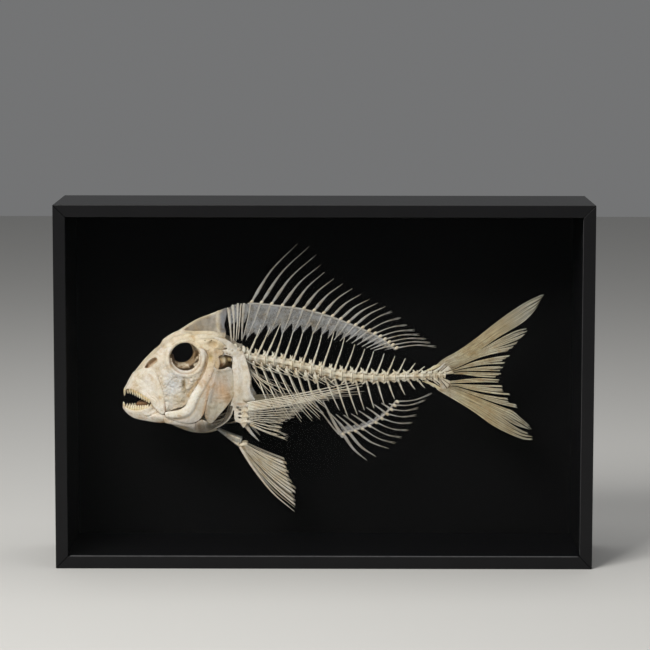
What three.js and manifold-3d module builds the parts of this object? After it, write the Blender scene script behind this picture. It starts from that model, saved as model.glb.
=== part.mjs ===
// Sea bream skeleton in a glazed shadow-box case.
// Millimetres, +Z up. Origin: middle of the case's footprint on the table.
// The glass faces -Y. The fish looks towards -X, its left flank towards the
// glass, its plane of symmetry on y = 0.
import * as THREE from 'three';
import { mergeVertices } from 'three/addons/utils/BufferGeometryUtils.js';
import Module from 'manifold-3d';

const wasm = await Module();
wasm.setup();

// ---------------------------------------------------------------- dimensions
// case
const CASE_W = 500, CASE_H = 340, CASE_D = 120;
const BOARD = 11.4;            // thickness of the four mitred boards
const GLASS_T = 2.0, GLASS_IN = 3.0, GLASS_GROOVE = 3.4;
const BACK_T = 3.7, BACK_REBATE = 5.4;
const PIN_D = 3.0;             // two steel pins behind the fish
const GAP = 0.3;               // clearance between touching pieces

// vertebral column
const ABDOMINAL = 10, VERTEBRAE = 24;
const COLUMN_X = [[1, -86], [3, -70.4], [7, -37.9], [11, -1.4], [15, 37.9], [19, 77.6], [21, 94.5], [25, 116]];
const COLUMN_Z = [[-90, 196], [-73, 191.6], [-33, 184.8], [-7, 179.2], [20, 173.6], [38, 172.5], [58, 172], [77, 173], [116, 174.6]];
const COLUMN_R = [[-88, 5.6], [-33, 4.9], [20, 5.3], [38, 4.9], [77, 3.5], [100, 3.0], [116, 2.2]];
const CORE_HALF = 1.9;         // half-width of the middle slab of the abdominal column
// neural and haemal spines, by vertebra number: reach back and up or down
const NEURAL_DX = [[3, 4.8], [6, 5.4], [8, 7.6], [11, 10.4], [14, 9.6], [15, 8], [22, 7.6]];
const NEURAL_DZ = [[3, 12.5], [6, 16], [8, 23], [9, 26.5], [11, 27], [12, 30.5], [13, 24.8], [14, 21.4], [16, 18.4], [18, 13.9], [19, 9.2], [20, 5.8], [23, 3.4]];
const HAEMAL_DX = [[11, 15], [13, 12.7], [14, 9.3], [18, 7.6], [20, 8], [22, 9]];
const HAEMAL_DZ = [[11, 31], [12, 36.5], [13, 31.8], [14, 26.8], [15, 25], [17, 16.5], [18, 13.7], [19, 9], [22, 7.5]];

// head
const PROFILE = [[-189.5, 156], [-181, 175.3], [-166.4, 193.6], [-144.7, 211.4], [-121, 226.9], [-94, 237.4], [-76, 244.3]];
const SKULL_TOP = [[-176, 179], [-166, 191], [-156, 200.5], [-146, 209.5], [-131, 212.5], [-102, 213.5], [-91, 206], [-85, 199]];
const SKULL_BOTTOM = [[-176, 171], [-150, 173], [-131, 175], [-116, 177], [-102, 181], [-90, 187], [-85, 189.5]];
const SKULL_HALF = [[-176, 3.5], [-166, 7], [-156, 11.5], [-146, 16], [-131, 15], [-116, 18.5], [-102, 20.5], [-92, 14], [-85, 5.5]];
const ORBIT = { x: -130.6, z: 193.1, rx: 15.2, rz: 14.8, midX: -134.5, midZ: 196.5, midR: 10.5, flare: 13 };
const TEETH = 7;               // per half jaw

// dorsal fin: 12 spines, 8 soft rays
const DORSAL_N = 20;
const DORSAL_BASE = [[1, -68.5], [3, -49.8], [6, -19], [9, 7.8], [12, 29.7], [15, 47.9], [17, 57.2], [20, 68.2]];
const DORSAL_RIDGE = [[-76, 243.2], [-67.4, 244.5], [-49.8, 242.3], [-19, 238.4], [7.8, 231], [23.4, 225.1], [42, 217.3], [57, 209], [68.2, 200.6]];
const DORSAL_DX = [[1, 43], [2, 44.8], [4, 36.5], [5, 29], [8, 27], [12, 28], [16, 32.8], [20, 38]];
const DORSAL_DZ = [[1, 54.4], [2, 52.6], [4, 38.2], [6, 27.5], [8, 23], [10, 18.5], [12, 17], [13, 15.5], [15, 8], [17, 4], [20, 0.8]];
const RADIAL_DX = [[1, 11], [5, 12.4], [9, 12.6], [12, 15], [16, 17.5], [20, 18]];
const RADIAL_DZ = [[1, 38], [5, 31], [6, 27.2], [8, 25], [9, 20.5], [11, 17.8], [13, 14], [16, 10.2], [20, 4]];

// anal fin: 3 spines (the first one short), 9 soft rays
const ANAL_RIDGE = [[16.2, 116.7], [28.8, 120.2], [41.5, 124.5], [53.4, 131.4], [62.7, 139.9], [68.6, 147.7]];
const ANAL_N = 11;
const ANAL_BASE = [[1, 18], [2, 23.4], [3, 29.7], [6, 49.2], [9, 63.7], [11, 69.2]];
const ANAL_DX = [[1, 22.6], [2, 26], [3, 31.8], [6, 31.3], [8, 27.9], [9, 26.5], [11, 34]];
const ANAL_DZ = [[1, -24.6], [2, -22.6], [3, -16.6], [5, -10.8], [7, -3.5], [9, 2.2], [11, 9]];

// tail fin, by place across each lobe (0 at the fork, 1 at the outer edge)
const TAIL_RAYS = 8;
const UPPER_TIP_X = [[0, 168], [0.3, 177.5], [0.6, 193], [0.72, 195], [0.86, 200.5], [1, 206.5]];
const UPPER_TIP_Z = [[0, 177.5], [0.3, 194.5], [0.6, 217], [0.72, 228.5], [0.86, 238.5], [1, 251.5]];
const LOWER_TIP_X = [[0, 167.6], [0.3, 176], [0.6, 187.5], [0.75, 190.5], [0.88, 198], [1, 202]];
const LOWER_TIP_Z = [[0, 169.5], [0.3, 156.5], [0.6, 140], [0.75, 131], [0.88, 122.5], [1, 113.5]];

// paired fins
const PECTORAL_RAYS = 12;
const PECTORAL_TIP_X = [[0, 30], [1, 38.3], [2, 30], [4, 8], [6, -12], [8, -27], [10, -33], [12, -41], [13, -34.5]];
const PECTORAL_TIP_Z = [[0, 171.5], [1, 170.5], [2, 167.5], [4, 160], [6, 151.5], [8, 141], [10, 132.5], [12, 124], [13, 116.5]];
const PECTORAL_DROP = 17;      // the right fin hangs this much lower at its tip

const BONE = '#ddd3bd', BONE_HEAD = '#e6dcc8', BONE_GREY = '#c4c0b6', BONE_TAN = '#cdb692';
const BLACK = '#161619';

// ------------------------------------------------------------------- helpers
// monotone cubic through a short table
function keys(tab) {
  const n = tab.length, d = [], m = [];
  for (let i = 0; i < n - 1; i++) d.push((tab[i + 1][1] - tab[i][1]) / (tab[i + 1][0] - tab[i][0]));
  m.push(d[0]);
  for (let i = 1; i < n - 1; i++) {
    if (d[i - 1] * d[i] <= 0) { m.push(0); continue; }
    const h0 = tab[i][0] - tab[i - 1][0], h1 = tab[i + 1][0] - tab[i][0];
    const a = 2 * h1 + h0, b = h1 + 2 * h0;
    m.push((a + b) / (a / d[i - 1] + b / d[i]));
  }
  m.push(d[n - 2]);
  return x => {
    if (x <= tab[0][0]) return tab[0][1] + m[0] * (x - tab[0][0]);
    if (x >= tab[n - 1][0]) return tab[n - 1][1] + m[n - 1] * (x - tab[n - 1][0]);
    let i = 0;
    while (x > tab[i + 1][0]) i++;
    const h = tab[i + 1][0] - tab[i][0], t = (x - tab[i][0]) / h, t2 = t * t, t3 = t2 * t;
    return (2 * t3 - 3 * t2 + 1) * tab[i][1] + (t3 - 2 * t2 + t) * h * m[i]
      + (3 * t2 - 2 * t3) * tab[i + 1][1] + (t3 - t2) * h * m[i + 1];
  };
}
const mix = (a, b, t) => a + (b - a) * t;
// a width given as a number, or as a list spread evenly from one end to the other
const along = w => typeof w === 'number' ? () => w
  : keys(w.map((v, i) => [i / (w.length - 1), v]));

// closed geometry -> solid, faces turned outwards
function solidOf(geometry) {
  const g0 = geometry.clone();
  g0.deleteAttribute('normal');
  g0.deleteAttribute('uv');
  const g = mergeVertices(g0, 1e-5);
  const p = g.attributes.position.array, ix = Array.from(g.index.array);
  let vol = 0;
  const tri = [];
  for (let i = 0; i < ix.length; i += 3) {
    const [a, b, c] = [ix[i], ix[i + 1], ix[i + 2]];
    if (a === b || b === c || a === c) continue;
    tri.push(a, b, c);
    const A = [p[3 * a], p[3 * a + 1], p[3 * a + 2]], B = [p[3 * b], p[3 * b + 1], p[3 * b + 2]], C = [p[3 * c], p[3 * c + 1], p[3 * c + 2]];
    vol += A[0] * (B[1] * C[2] - B[2] * C[1]) + A[1] * (B[2] * C[0] - B[0] * C[2]) + A[2] * (B[0] * C[1] - B[1] * C[0]);
  }
  if (vol < 0) for (let i = 0; i < tri.length; i += 3) [tri[i + 1], tri[i + 2]] = [tri[i + 2], tri[i + 1]];
  return new wasm.Manifold(new wasm.Mesh({ numProp: 3, vertProperties: new Float32Array(p), triVerts: new Uint32Array(tri) }));
}
const bend = (geometry, fn) => {
  const q = geometry.attributes.position;
  for (let i = 0; i < q.count; i++) {
    const r = fn(q.getX(i), q.getY(i), q.getZ(i));
    q.setXYZ(i, r[0], r[1], r[2]);
  }
  return geometry;
};

// Each primitive is a function of e, the amount it is grown by on every side.
// A rod follows a smooth curve through points; w is its width across the fish
// (along y), h its width in the plane of the fish.
const TRIANGLE = new THREE.Shape([[-0.5, -0.5], [0.5, -0.5], [0, 0.5]].map(p => new THREE.Vector2(...p)));
function rod(points, w, h, n = 2, sides = 4) {
  const curve = new THREE.CatmullRomCurve3(points.map(p => new THREE.Vector3(...p)));
  const fw = along(w), fh = along(h);
  return e => {
    const len = curve.getLength();
    const bar = sides === 3 ? new THREE.ExtrudeGeometry(TRIANGLE, { depth: 1, steps: n, bevelEnabled: false }).translate(0, 0, -0.5)
      : new THREE.BoxGeometry(1, 1, 1, 1, 1, n);
    return solidOf(bend(bar, (x, y, z) => {
      const t = z + 0.5, c = curve.getPoint(t), T = curve.getTangent(Math.min(Math.max(t, 0.001), 0.999));
      const side = Math.abs(T.y) > 0.9 ? new THREE.Vector3(0, 0, 1) : new THREE.Vector3(0, 1, 0);
      const N = side.addScaledVector(T, -side.dot(T)).normalize();
      const B = new THREE.Vector3().crossVectors(T, N);
      if (t < 1e-6) c.addScaledVector(T, -e);
      if (t > 1 - 1e-6) c.addScaledVector(T, e);
      c.addScaledVector(N, x * (fw(t) + 2 * e)).addScaledVector(B, y * (fh(t) + 2 * e));
      return [c.x, c.y, c.z];
    }));
  };
}
// A plate is a curved sheet given by its middle surface f(u, v) and thickness.
function plate(f, thickness, nu, nv) {
  const th = typeof thickness === 'number' ? () => thickness : thickness;
  const P = (u, v) => new THREE.Vector3(...f(u, v));
  return e => solidOf(bend(new THREE.BoxGeometry(1, 1, 1, nu, nv, 1), (x, y, z) => {
    const u = x + 0.5, v = y + 0.5, s = 0.01;
    const c = P(u, v);
    const du = P(Math.min(u + s, 1), v).sub(P(Math.max(u - s, 0), v));
    const dv = P(u, Math.min(v + s, 1)).sub(P(u, Math.max(v - s, 0)));
    const N = new THREE.Vector3().crossVectors(du, dv).normalize();
    if (e) {
      if (u < 1e-6) c.addScaledVector(du.normalize(), -e);
      if (u > 1 - 1e-6) c.addScaledVector(du.normalize(), e);
      if (v < 1e-6) c.addScaledVector(dv.normalize(), -e);
      if (v > 1 - 1e-6) c.addScaledVector(dv.normalize(), e);
    }
    c.addScaledVector(N, z * (th(u, v) + 2 * e));
    return [c.x, c.y, c.z];
  }));
}
// A band is a plate along a centre line in the plane of the fish.
function band(line, width, depth, thickness, nu, nv = 1) {
  const curve = new THREE.CatmullRomCurve3(line.map(p => new THREE.Vector3(p[0], 0, p[1])));
  const fw = along(width), fy = along(depth);
  return plate((u, v) => {
    const c = curve.getPoint(u), T = curve.getTangent(Math.min(Math.max(u, 0.001), 0.999));
    const k = (v - 0.5) * fw(u);
    return [c.x - T.z * k, fy(u), c.z + T.x * k];
  }, thickness, nu, nv);
}
// A barrel is a body of rings: centre(t), and ring(t, angle) from that centre.
function barrel(centre, ring, ns, na) {
  return e => solidOf(bend(new THREE.CylinderGeometry(1, 1, 1, na, ns), (x, y, z) => {
    const t = y + 0.5, r = Math.hypot(x, z), a = Math.atan2(x, z);
    const c = new THREE.Vector3(...centre(t, e)), d = new THREE.Vector3(...ring(t, a));
    const l = d.length();
    if (r > 0.5 && l > 1e-6) c.addScaledVector(d, (l + e) / l);
    return [c.x, c.y, c.z];
  }));
}
const box = (x0, x1, y0, y1, z0, z1) => e => solidOf(new THREE.BoxGeometry(x1 - x0 + 2 * e, y1 - y0 + 2 * e, z1 - z0 + 2 * e)
  .translate((x0 + x1) / 2, (y0 + y1) / 2, (z0 + z1) / 2));
const cone = (x, y, z, dx, dy, dz, r, tip = 0.25) => rod([[x - dx * 0.25, y - dy * 0.25, z - dz * 0.25], [x + dx, y + dy, z + dz]], [2 * r, 2 * tip], [2 * r, 2 * tip], 1, 3);
const mirror = (list, s) => s < 0 ? list : list.map(p => e => p(e).mirror([0, 1, 0]));
const unite = (list, e) => list.map(p => p(e)).reduce((a, b) => a.add(b));

// ------------------------------------------------------------------- column
const colX = keys(COLUMN_X), colZ = keys(COLUMN_Z), colR = keys(COLUMN_R);
function column(first, last) {           // waisted centra, two rings each
  const n = (last - first + 1) * 2;
  const at = t => colX(first + t * (last - first + 1)) - 1;
  return barrel((t, e) => [at(t) + (t < 1e-6 ? -e : t > 1 - 1e-6 ? e : 0), 0, colZ(at(t))], (t, a) => {
    const k = Math.round(t * n) % 2 ? 0.74 : 1, r = colR(at(t)) * k;
    return [0, r * Math.sin(a + Math.PI / 6), 1.06 * r * Math.cos(a + Math.PI / 6)];
  }, n, 6);
}
const neuralDX = keys(NEURAL_DX), neuralDZ = keys(NEURAL_DZ), haemalDX = keys(HAEMAL_DX), haemalDZ = keys(HAEMAL_DZ);
function neural(i) {
  const x = colX(i) + 1.4, z = colZ(x) + colR(x) * 0.7, top = colZ(x) + colR(x);
  const dx = neuralDX(i), dz = neuralDZ(i);
  return rod([[x - 0.6, 0, z], [x - 1.4 + dx, 0, top + dz]], [2, 0.9], [2.8, 1], 1, 3);
}
function haemal(i) {
  const x = colX(i) + 1.4, z = colZ(x) - colR(x) * 0.7, low = colZ(x) - colR(x);
  const dx = haemalDX(i), dz = haemalDZ(i);
  return rod([[x - 0.6, 0, z], [x - 1.4 + dx, 0, low - dz]], [2, 0.9], [2.6, 1], 1, 3);
}
const range = (a, b) => Array.from({ length: b - a + 1 }, (_, i) => a + i);

const trunkColumn = [column(1, ABDOMINAL)];
const slab = (y0, y1) => box(-120, 20, y0, y1, 150, 230);
// three slender bones between the skull's crest and the first neural spines
const napeBone = k => rod([[-91 + 5.2 * k, 0, 236.5 + 1.8 * k], [-88.6 + 3.4 * k, 0, 222], [-86 + 2.4 * k, 0, 203], [-84 + 2.4 * k, 0, 196]],
  [1, 1.2, 1.6, 2], [1.2, 1.8, 1.4, 2.4], 2);
const spineTrunk = [
  e => trunkColumn[0](e).intersect(slab(-CORE_HALF, CORE_HALF)(e)),
  ...range(3, ABDOMINAL).map(neural),
  napeBone(0), napeBone(1), napeBone(2),
];

// ribs of one side, with the flank of the abdominal centra they hang from
const RIBS = 8;
const ribBaseX = keys([[0, -67], [3, -44], [7, -9]]), ribMidX = keys([[0, -55], [3, -29], [7, -4.5]]), ribTipX = keys([[0, -45], [2, -21.5], [4, -4], [7, 4.5]]);
const ribMidZ = keys([[0, 155], [5, 152], [7, 160]]), ribTipZ = keys([[0, 137], [2, 131], [4, 133], [7, 150]]);
function rib(k) {
  const x = ribBaseX(k), z = colZ(x), r = colR(x), wide = 20 - 1.9 * k;
  return rod([[x, -2.7, z - r * 0.25], [x + 2.6, -5.4, z - r - 7], [ribMidX(k), -wide, ribMidZ(k)], [ribTipX(k), -wide * 0.62, ribTipZ(k)]],
    [2, 1.4, 1.2, 0.9], [2.6, 1.6, 1.3, 0.9], 3, 3);
}
const ribsLeft = [
  e => trunkColumn[0](e).intersect(slab(-12, -CORE_HALF - GAP)(e)),
  ...range(0, RIBS - 1).map(rib),
];

const hypural = (z0, z1, x0, x1) => plate((u, v) => [mix(107, mix(x0, x1, v), u), 0, mix(colZ(110), mix(z0, z1, v), Math.pow(u, 0.8)) + (v - 0.5) * 2], 1.8, 2, 1);
const spineTail = [
  column(ABDOMINAL + 1, VERTEBRAE),
  ...range(ABDOMINAL + 1, VERTEBRAE - 2).map(neural),
  ...range(ABDOMINAL + 1, VERTEBRAE - 2).map(haemal),
  hypural(176.2, 183.4, 122.9, 118.2), hypural(164, 171.4, 115.6, 120.4),
  rod([[108, 0, 175.4], [115.6, 0, 183.4]], [2.4, 1.2], [3, 1.4], 1),
];

// --------------------------------------------------------------------- head
const profile = keys(PROFILE), skullTop = keys(SKULL_TOP), skullBottom = keys(SKULL_BOTTOM), skullHalf = keys(SKULL_HALF);
const braincase = barrel((t, e) => {
  const x = mix(-176, -85, t);
  return [x + (t < 1e-6 ? -e : t > 1 - 1e-6 ? e : 0), 0, mix(skullBottom(x), skullTop(x), 0.62)];
}, (t, a) => {
  const x = mix(-176, -85, t), top = skullTop(x), low = skullBottom(x), mid = mix(low, top, 0.62), w = skullHalf(x);
  const s = Math.sin(a), c = Math.cos(a), sq = v => Math.sign(v) * Math.pow(Math.abs(v), 0.8);
  return [0, w * sq(s) * (c < 0 ? 1 + 0.62 * c : 1), c > 0 ? (top - mid) * sq(c) : (mid - low) * sq(c)];
}, 9, 12);
const holeY = keys([[0, -40], [0.25, -ORBIT.flare], [0.5, 0], [0.75, ORBIT.flare], [1, 40]]);
const orbitHole = barrel(t => {
  const y = holeY(t), k = Math.min(Math.abs(y) / ORBIT.flare, 1);
  return [mix(ORBIT.midX, ORBIT.x, k), y, mix(ORBIT.midZ, ORBIT.z, k)];
}, (t, a) => {
  const y = holeY(t), k = Math.min(Math.abs(y) / ORBIT.flare, 1);
  return [mix(ORBIT.midR, ORBIT.rx, k) * Math.sin(a), 0, mix(ORBIT.midR, ORBIT.rz, k) * Math.cos(a)];
}, 4, 14);
const crest = plate((u, v) => {
  const x = mix(-148, -94.2, u) + (u > 0.99 ? 0.6 : 0);
  return [x, 0, mix(207, Math.max(profile(x) - 0.3, 208), v)];
}, (u, v) => mix(3.2, 1.4, v), 5, 1);
const skull = [
  e => unite([braincase, crest], e).subtract(orbitHole(-e)),
];

// toothed half of the upper jaw with its maxilla
const upperEdge = u => [mix(-189, -162.5, u), -(0.9 + 12.5 * Math.pow(u, 0.75)), 156 - 6.4 * u];
const premaxilla = plate((u, v) => {
  const x0 = mix(-189, -168, v), z0 = profile(x0) - 1.1, y0 = 0.95 + 1.3 * v;
  const x1 = mix(-162.5, -160, v), z1 = mix(149.8, 181, v), y1 = 13.4;
  return [mix(x0, x1, u), -mix(y0, y1, Math.pow(u, 0.75)), mix(z0, z1, u)];
}, (u, v) => 1.7, 4, 2);
const maxilla = rod([[-170, -8, 181], [-163, -14.2, 163], [-156.5, -15.6, 141.5]], [2.2, 2.4, 1.6], [3.4, 5, 7.5], 2);
const upperTooth = k => {
  const u = 0.03 + k * 0.14, p = upperEdge(u), l = k ? 2.6 - 0.12 * k : 3.4;
  return cone(p[0], p[1], p[2], k ? 0.2 : -0.3, 0, -l, 0.85, 0.3);
};
const upperJaw = [premaxilla, maxilla, ...range(0, TEETH - 1).map(upperTooth)];

// toothed half of the lower jaw
const lowerEdge = u => [mix(-190.2, -163, u), -(0.9 + 12.3 * Math.pow(u, 0.7)), mix(145.6, 149, u * u)];
const jawTop = keys([[-190.4, 145.8], [-176, 146.2], [-164, 149.4], [-157, 143], [-148.5, 136.5]]);
const jawLow = keys([[-190.4, 142.5], [-187.5, 138.4], [-181, 134.6], [-167, 131], [-148.5, 129.3]]);
const dentary = plate((u, v) => {
  const x = mix(-190.4, -148.5, u);
  return [x, -(0.95 + 14 * Math.pow(u, 0.62) - 1.2 * (1 - v) * u), mix(jawLow(x), jawTop(x), v)];
}, 1.7, 6, 1);
const lowerTooth = k => {
  const u = 0.02 + k * 0.135, p = lowerEdge(u), l = k ? 2.5 - 0.1 * k : 3.2;
  return cone(p[0], p[1], jawTop(p[0]), k ? 0.1 : -0.4, 0, l, 0.85, 0.3);
};
const lowerJaw = [dentary, ...range(0, TEETH - 1).map(lowerTooth)];

// plates below and around the orbit
const cheekReach = keys([[150, 19.5], [175, 30], [198, 44], [225, 53.5], [245, 49.5], [262, 41.5], [285, 33], [310, 25], [335, 20], [385, 18.4]]);
const cheek = [plate((u, v) => {
  const a = mix(152, 385, u), r0 = 15.3, r = mix(r0, cheekReach(a), v), q = a * Math.PI / 180;
  const front = Math.max(0, -Math.cos(q));
  return [ORBIT.x + r * Math.cos(q), -(17.6 - 4.6 * front * Math.pow((r - r0) / 38, 1.2)), ORBIT.z + r * Math.sin(q) * (v ? 1 : 0.97)];
}, 1.5, 12, 2)];

// palate, quadrate and hyomandibula of one side
const archPlate =
  plate((u, v) => [mix(mix(-162, -149.5, u), mix(-114, -101, u), v), -(mix(11.5, 15.6, v) - 0.5 * u), mix(mix(168, 139.5, u), mix(202, 190, u), v) - 9 * Math.sin(Math.PI * v) * u], 1.5, 3, 3);
const jawArch = [e => archPlate(e).subtract(orbitHole(-e))];
const preopercle = [band([[-103, 198], [-105.5, 183], [-118.5, 163], [-124, 147], [-133, 139.5], [-147, 139.3]], [5, 8.5, 9.4, 10, 8.6, 5.5], [-19.2, -20, -21, -21, -20, -18], 1.9, 9)];
const operFrontX = keys([[0, -109], [0.3, -117], [0.6, -109], [1, -99]]), operFrontZ = keys([[0, 132.5], [0.3, 148], [0.6, 171], [1, 200.5]]);
const operRearX = keys([[0, -104], [0.3, -90.5], [0.6, -83.6], [0.85, -86], [1, -95]]), operRearZ = keys([[0, 132.5], [0.3, 146], [0.6, 166], [0.85, 186], [1, 200.5]]);
const opercle = [plate((u, v) => [mix(operFrontX(v), operRearX(v), u), -(20.5 + 2.6 * Math.sin(Math.PI * Math.min(v * 0.9 + 0.1, 1)) * Math.sin(Math.PI * (0.25 + 0.6 * u))), mix(operFrontZ(v), operRearZ(v), u)], 1.3, 3, 5)];
const subopercle = [band([[-148, 132.4], [-136, 129.4], [-123, 129], [-111, 126.6], [-99, 130.5], [-89, 142], [-84.5, 153]], [5, 8.6, 13, 12, 9, 6.5, 3], [-13, -16, -18.6, -18.6, -19, -20, -20.6], 1.2, 9)];

// hyoid bars, branchiostegal rays and urohyal
const throat = [
  plate((u, v) => [mix(-149, -101, u), 0, mix(mix(134, 131, u), mix(129, 118.6, Math.sin(u * 2.3)), v)], 1.6, 4, 1),
  ...[-1, 1].flatMap(s => [
    rod([[-147, 0, 133], [-136, s * 6, 136], [-116, s * 13, 144]], [3, 3, 2.4], [4, 6.5, 7], 2),
    ...range(0, 2).map(k => rod([[-137 + 6 * k, s * (6 + 2.3 * k), 135.5 + 2 * k], [-124 + 6 * k, s * (12.3 + 1.2 * k), 127.5 + 1.5 * k], [-104 + 5 * k, s * 15.6, 128 + 3.6 * k]], [1.4, 1.2, 0.9], [1.6, 1.6, 1.2], 2, 3)),
  ]),
];

// shoulder girdle of one side
const shoulder = [
  band([[-85.5, 201], [-81, 188], [-77.6, 171], [-78, 159], [-81, 148], [-89, 136], [-101.5, 125]], [6, 9, 15, 18.5, 14, 8.5, 4.5], [-15, -18, -18.8, -18.6, -17.6, -12, -3], 2, 9),
  rod([[-98, -17.8, 210.5], [-92, -15.6, 208], [-86, -15.2, 199.5]], [1.6, 1.8, 1.6], [3.4, 4.4, 4.4], 3),
  rod([[-79, -18.8, 151], [-76, -20.4, 139], [-74, -19.6, 129]], [2.4, 3, 2.2], [8, 7, 5], 3),
  rod([[-75.5, -19.2, 131], [-69.8, -18.4, 124], [-59.6, -17, 112]], [1.4, 1.2, 0.7], [4, 4.2, 0.9], 3),
];

// pectoral fin of one side: rays spread from a curved row of bases
const pecX = keys(PECTORAL_TIP_X), pecZ = keys(PECTORAL_TIP_Z);
function pectoral(drop) {
  const rays = range(0, PECTORAL_RAYS - 1).map(k => {
    const v = k / (PECTORAL_RAYS - 1);
    const b = [-72.6 + 3.2 * v, -24.2 - 0.6 * Math.sin(Math.PI * v), 151.4 - 21.5 * v];
    const q = 13 * v, tip = [pecX(q), -31.5 + 0.25 * k, pecZ(q) - drop * (pecX(q) + 74) / 112];
    const m = [mix(b[0], tip[0], 0.45), -29.5 + 0.2 * k, mix(b[2], tip[2], 0.45) + 1.4 - 0.2 * k];
    return rod([b, m, tip], [1.5, 1.1, 0.8], [1.6, 1.3, 0.9], 2, 3);
  });
  return [rod([[-72.8, -24, 152.5], [-72.4, -24.6, 141], [-69, -24, 128.5]], [2.6, 3, 2.4], [3.4, 4.4, 3.4], 2), ...rays];
}

// pelvis and pelvic fins
const pelvis = [
  ...[-1, 1].map(s => plate((u, v) => [mix(-99, -80, u) + 1.2 * v, s * (1 + 4.6 * u), mix(121.5, 109.6, u) + (v - 0.5) * mix(3, 9, u)], 1.8, 1, 1)),
  rod([[-81.5, -5.6, 110], [-81.5, 5.6, 110]], 2.6, 2.6, 1),
  rod([[-98.5, -1.2, 121], [-98.5, 1.2, 121]], [2.4, 2.4], [2.4, 2.4], 1),
];
const pelvicFan = (u, v) => {            // v: 0 at the leading spine, 1 at the rear edge
  const tx = keys([[0, -27.8], [0.3, -26.6], [0.65, -32.5], [1, -38]])(v), tz = keys([[0, 47.2], [0.3, 60], [0.65, 78], [1, 94]])(v);
  const bx = mix(-79.6, -73.5, v), bz = mix(107, 108.6, v), b = 5 * (0.5 - v) * Math.sin(Math.PI * u);
  return [mix(bx, tx, u) - b * 0.8, -(6.2 + 4.5 * u + 1.5 * v), mix(bz, tz, u) - b * 0.9];
};
const pelvicFin = [
  ...range(0, 4).map(k => plate((u, v) => pelvicFan(u, (k + mix(0.16, 1, v)) / 5), (u, v) => mix(1.8, 0.7, u), 2, 1)),
  rod([pelvicFan(0, -0.02), pelvicFan(0.5, -0.05), pelvicFan(1.0, -0.03)], [2, 1.6, 0.7], [2.6, 1.8, 0.8], 2),
  rod([[-80.2, -6, 107.8], [-72.8, -6.8, 109.2]], [3, 3], [3.4, 3.4], 1),
];

// ------------------------------------------------------------- median fins
const dBase = keys(DORSAL_BASE), dRidge = keys(DORSAL_RIDGE), dDX = keys(DORSAL_DX), dDZ = keys(DORSAL_DZ), rDX = keys(RADIAL_DX), rDZ = keys(RADIAL_DZ);
function dorsalRay(k) {
  const x = dBase(k), z = dRidge(x), dx = dDX(k), dz = dDZ(k), b = k < 12 ? 0.075 : 0.06;
  return rod([[x, 0, z - 0.6], [x + dx * 0.5 - b * dz, 0, z + dz * 0.5 + b * dx], [x + dx, 0, z + dz]],
    [1.8, 1.4, 0.8], k < 13 ? [2, 1.9, 0.9] : [1.5, 1.2, 1.2], 2, 3);
}
function dorsalRadial(k) {
  const x = dBase(k), z = dRidge(x), dx = rDX(k), dz = rDZ(k);
  return rod([[x, 0, z], [x - dx, 0, z - dz]], [1.6, 0.9], [1.8, 1], 1, 3);
}
// ridge and the thin sheet that hangs from it between the radials
const dorsalWeb = plate((u, v) => {
  const k = mix(0.6, DORSAL_N + 0.2, u), x = dBase(k), z = dRidge(x), deep = v < 0.5 ? 0.1 * v : mix(0.05, mix(0.58, 0.4, u), 2 * v - 1);
  const up = (1 - Math.min(2 * v, 1)) * 1.1;
  return [x - rDX(k) * 0.8 * deep + 0.3 * up, 0, z - rDZ(k) * deep + up];
}, (u, v) => v < 0.75 ? 2 : 0.6, 10, 2);
const dorsalFin = [dorsalWeb, rod([[-75, 0, 242.6], [-77.6, 0, 207]], [1.8, 1.2], [2.6, 1.4], 1), ...range(1, DORSAL_N).map(dorsalRay), ...range(1, DORSAL_N - 2).map(dorsalRadial)];

const aBase = keys(ANAL_BASE), aRidge = keys(ANAL_RIDGE), aDX = keys(ANAL_DX), aDZ = keys(ANAL_DZ);
function analRay(k) {
  const x = aBase(k), z = aRidge(x), dx = aDX(k), dz = aDZ(k);
  return rod([[x, 0, z + 0.6], [x + dx * 0.5 - 0.05 * Math.abs(dz), 0, z + dz * 0.5 - 0.07 * dx], [x + dx, 0, z + dz]],
    [1.8, 1.4, 0.8], k < 3 ? [3.4, 2.2, 0.9] : [1.6, 1.2, 1.2], 2, 3);
}
function analRadial(k) {
  const x = aBase(k), z = aRidge(x), tx = mix(4, 54, (k - 2) / 7), tz = 140 - 5 * Math.sin(Math.PI * (k - 1.5) / 5) + 0.3 * k;
  return rod([[x, 0, z], [tx, 0, tz]], [1.6, 0.9], [1.8, 1], 1, 3);
}
const analFin = [
  rod([[17.6, 0, 115.4], [6, 0, 134], [-4.4, 0, 150]], [2.4, 1.8, 1], [4.6, 3.4, 1.6], 2),
  plate((u, v) => {
    const k = mix(0.4, 11, u), x = aBase(k), z = aRidge(x), w = Math.max(2 * v - 1, 0), up = (1 - Math.min(2 * v, 1)) * 1.2;
    return [x - mix(6, 13, u) * w + 0.4 * up, 0, z + (mix(7, 4.5, u) - 1.6 * u) * w - up];
  }, (u, v) => v < 0.75 ? 2.2 : 0.6, 5, 2),
  ...range(1, ANAL_N).map(analRay), ...range(2, ANAL_N - 2).map(analRadial),
];

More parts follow.
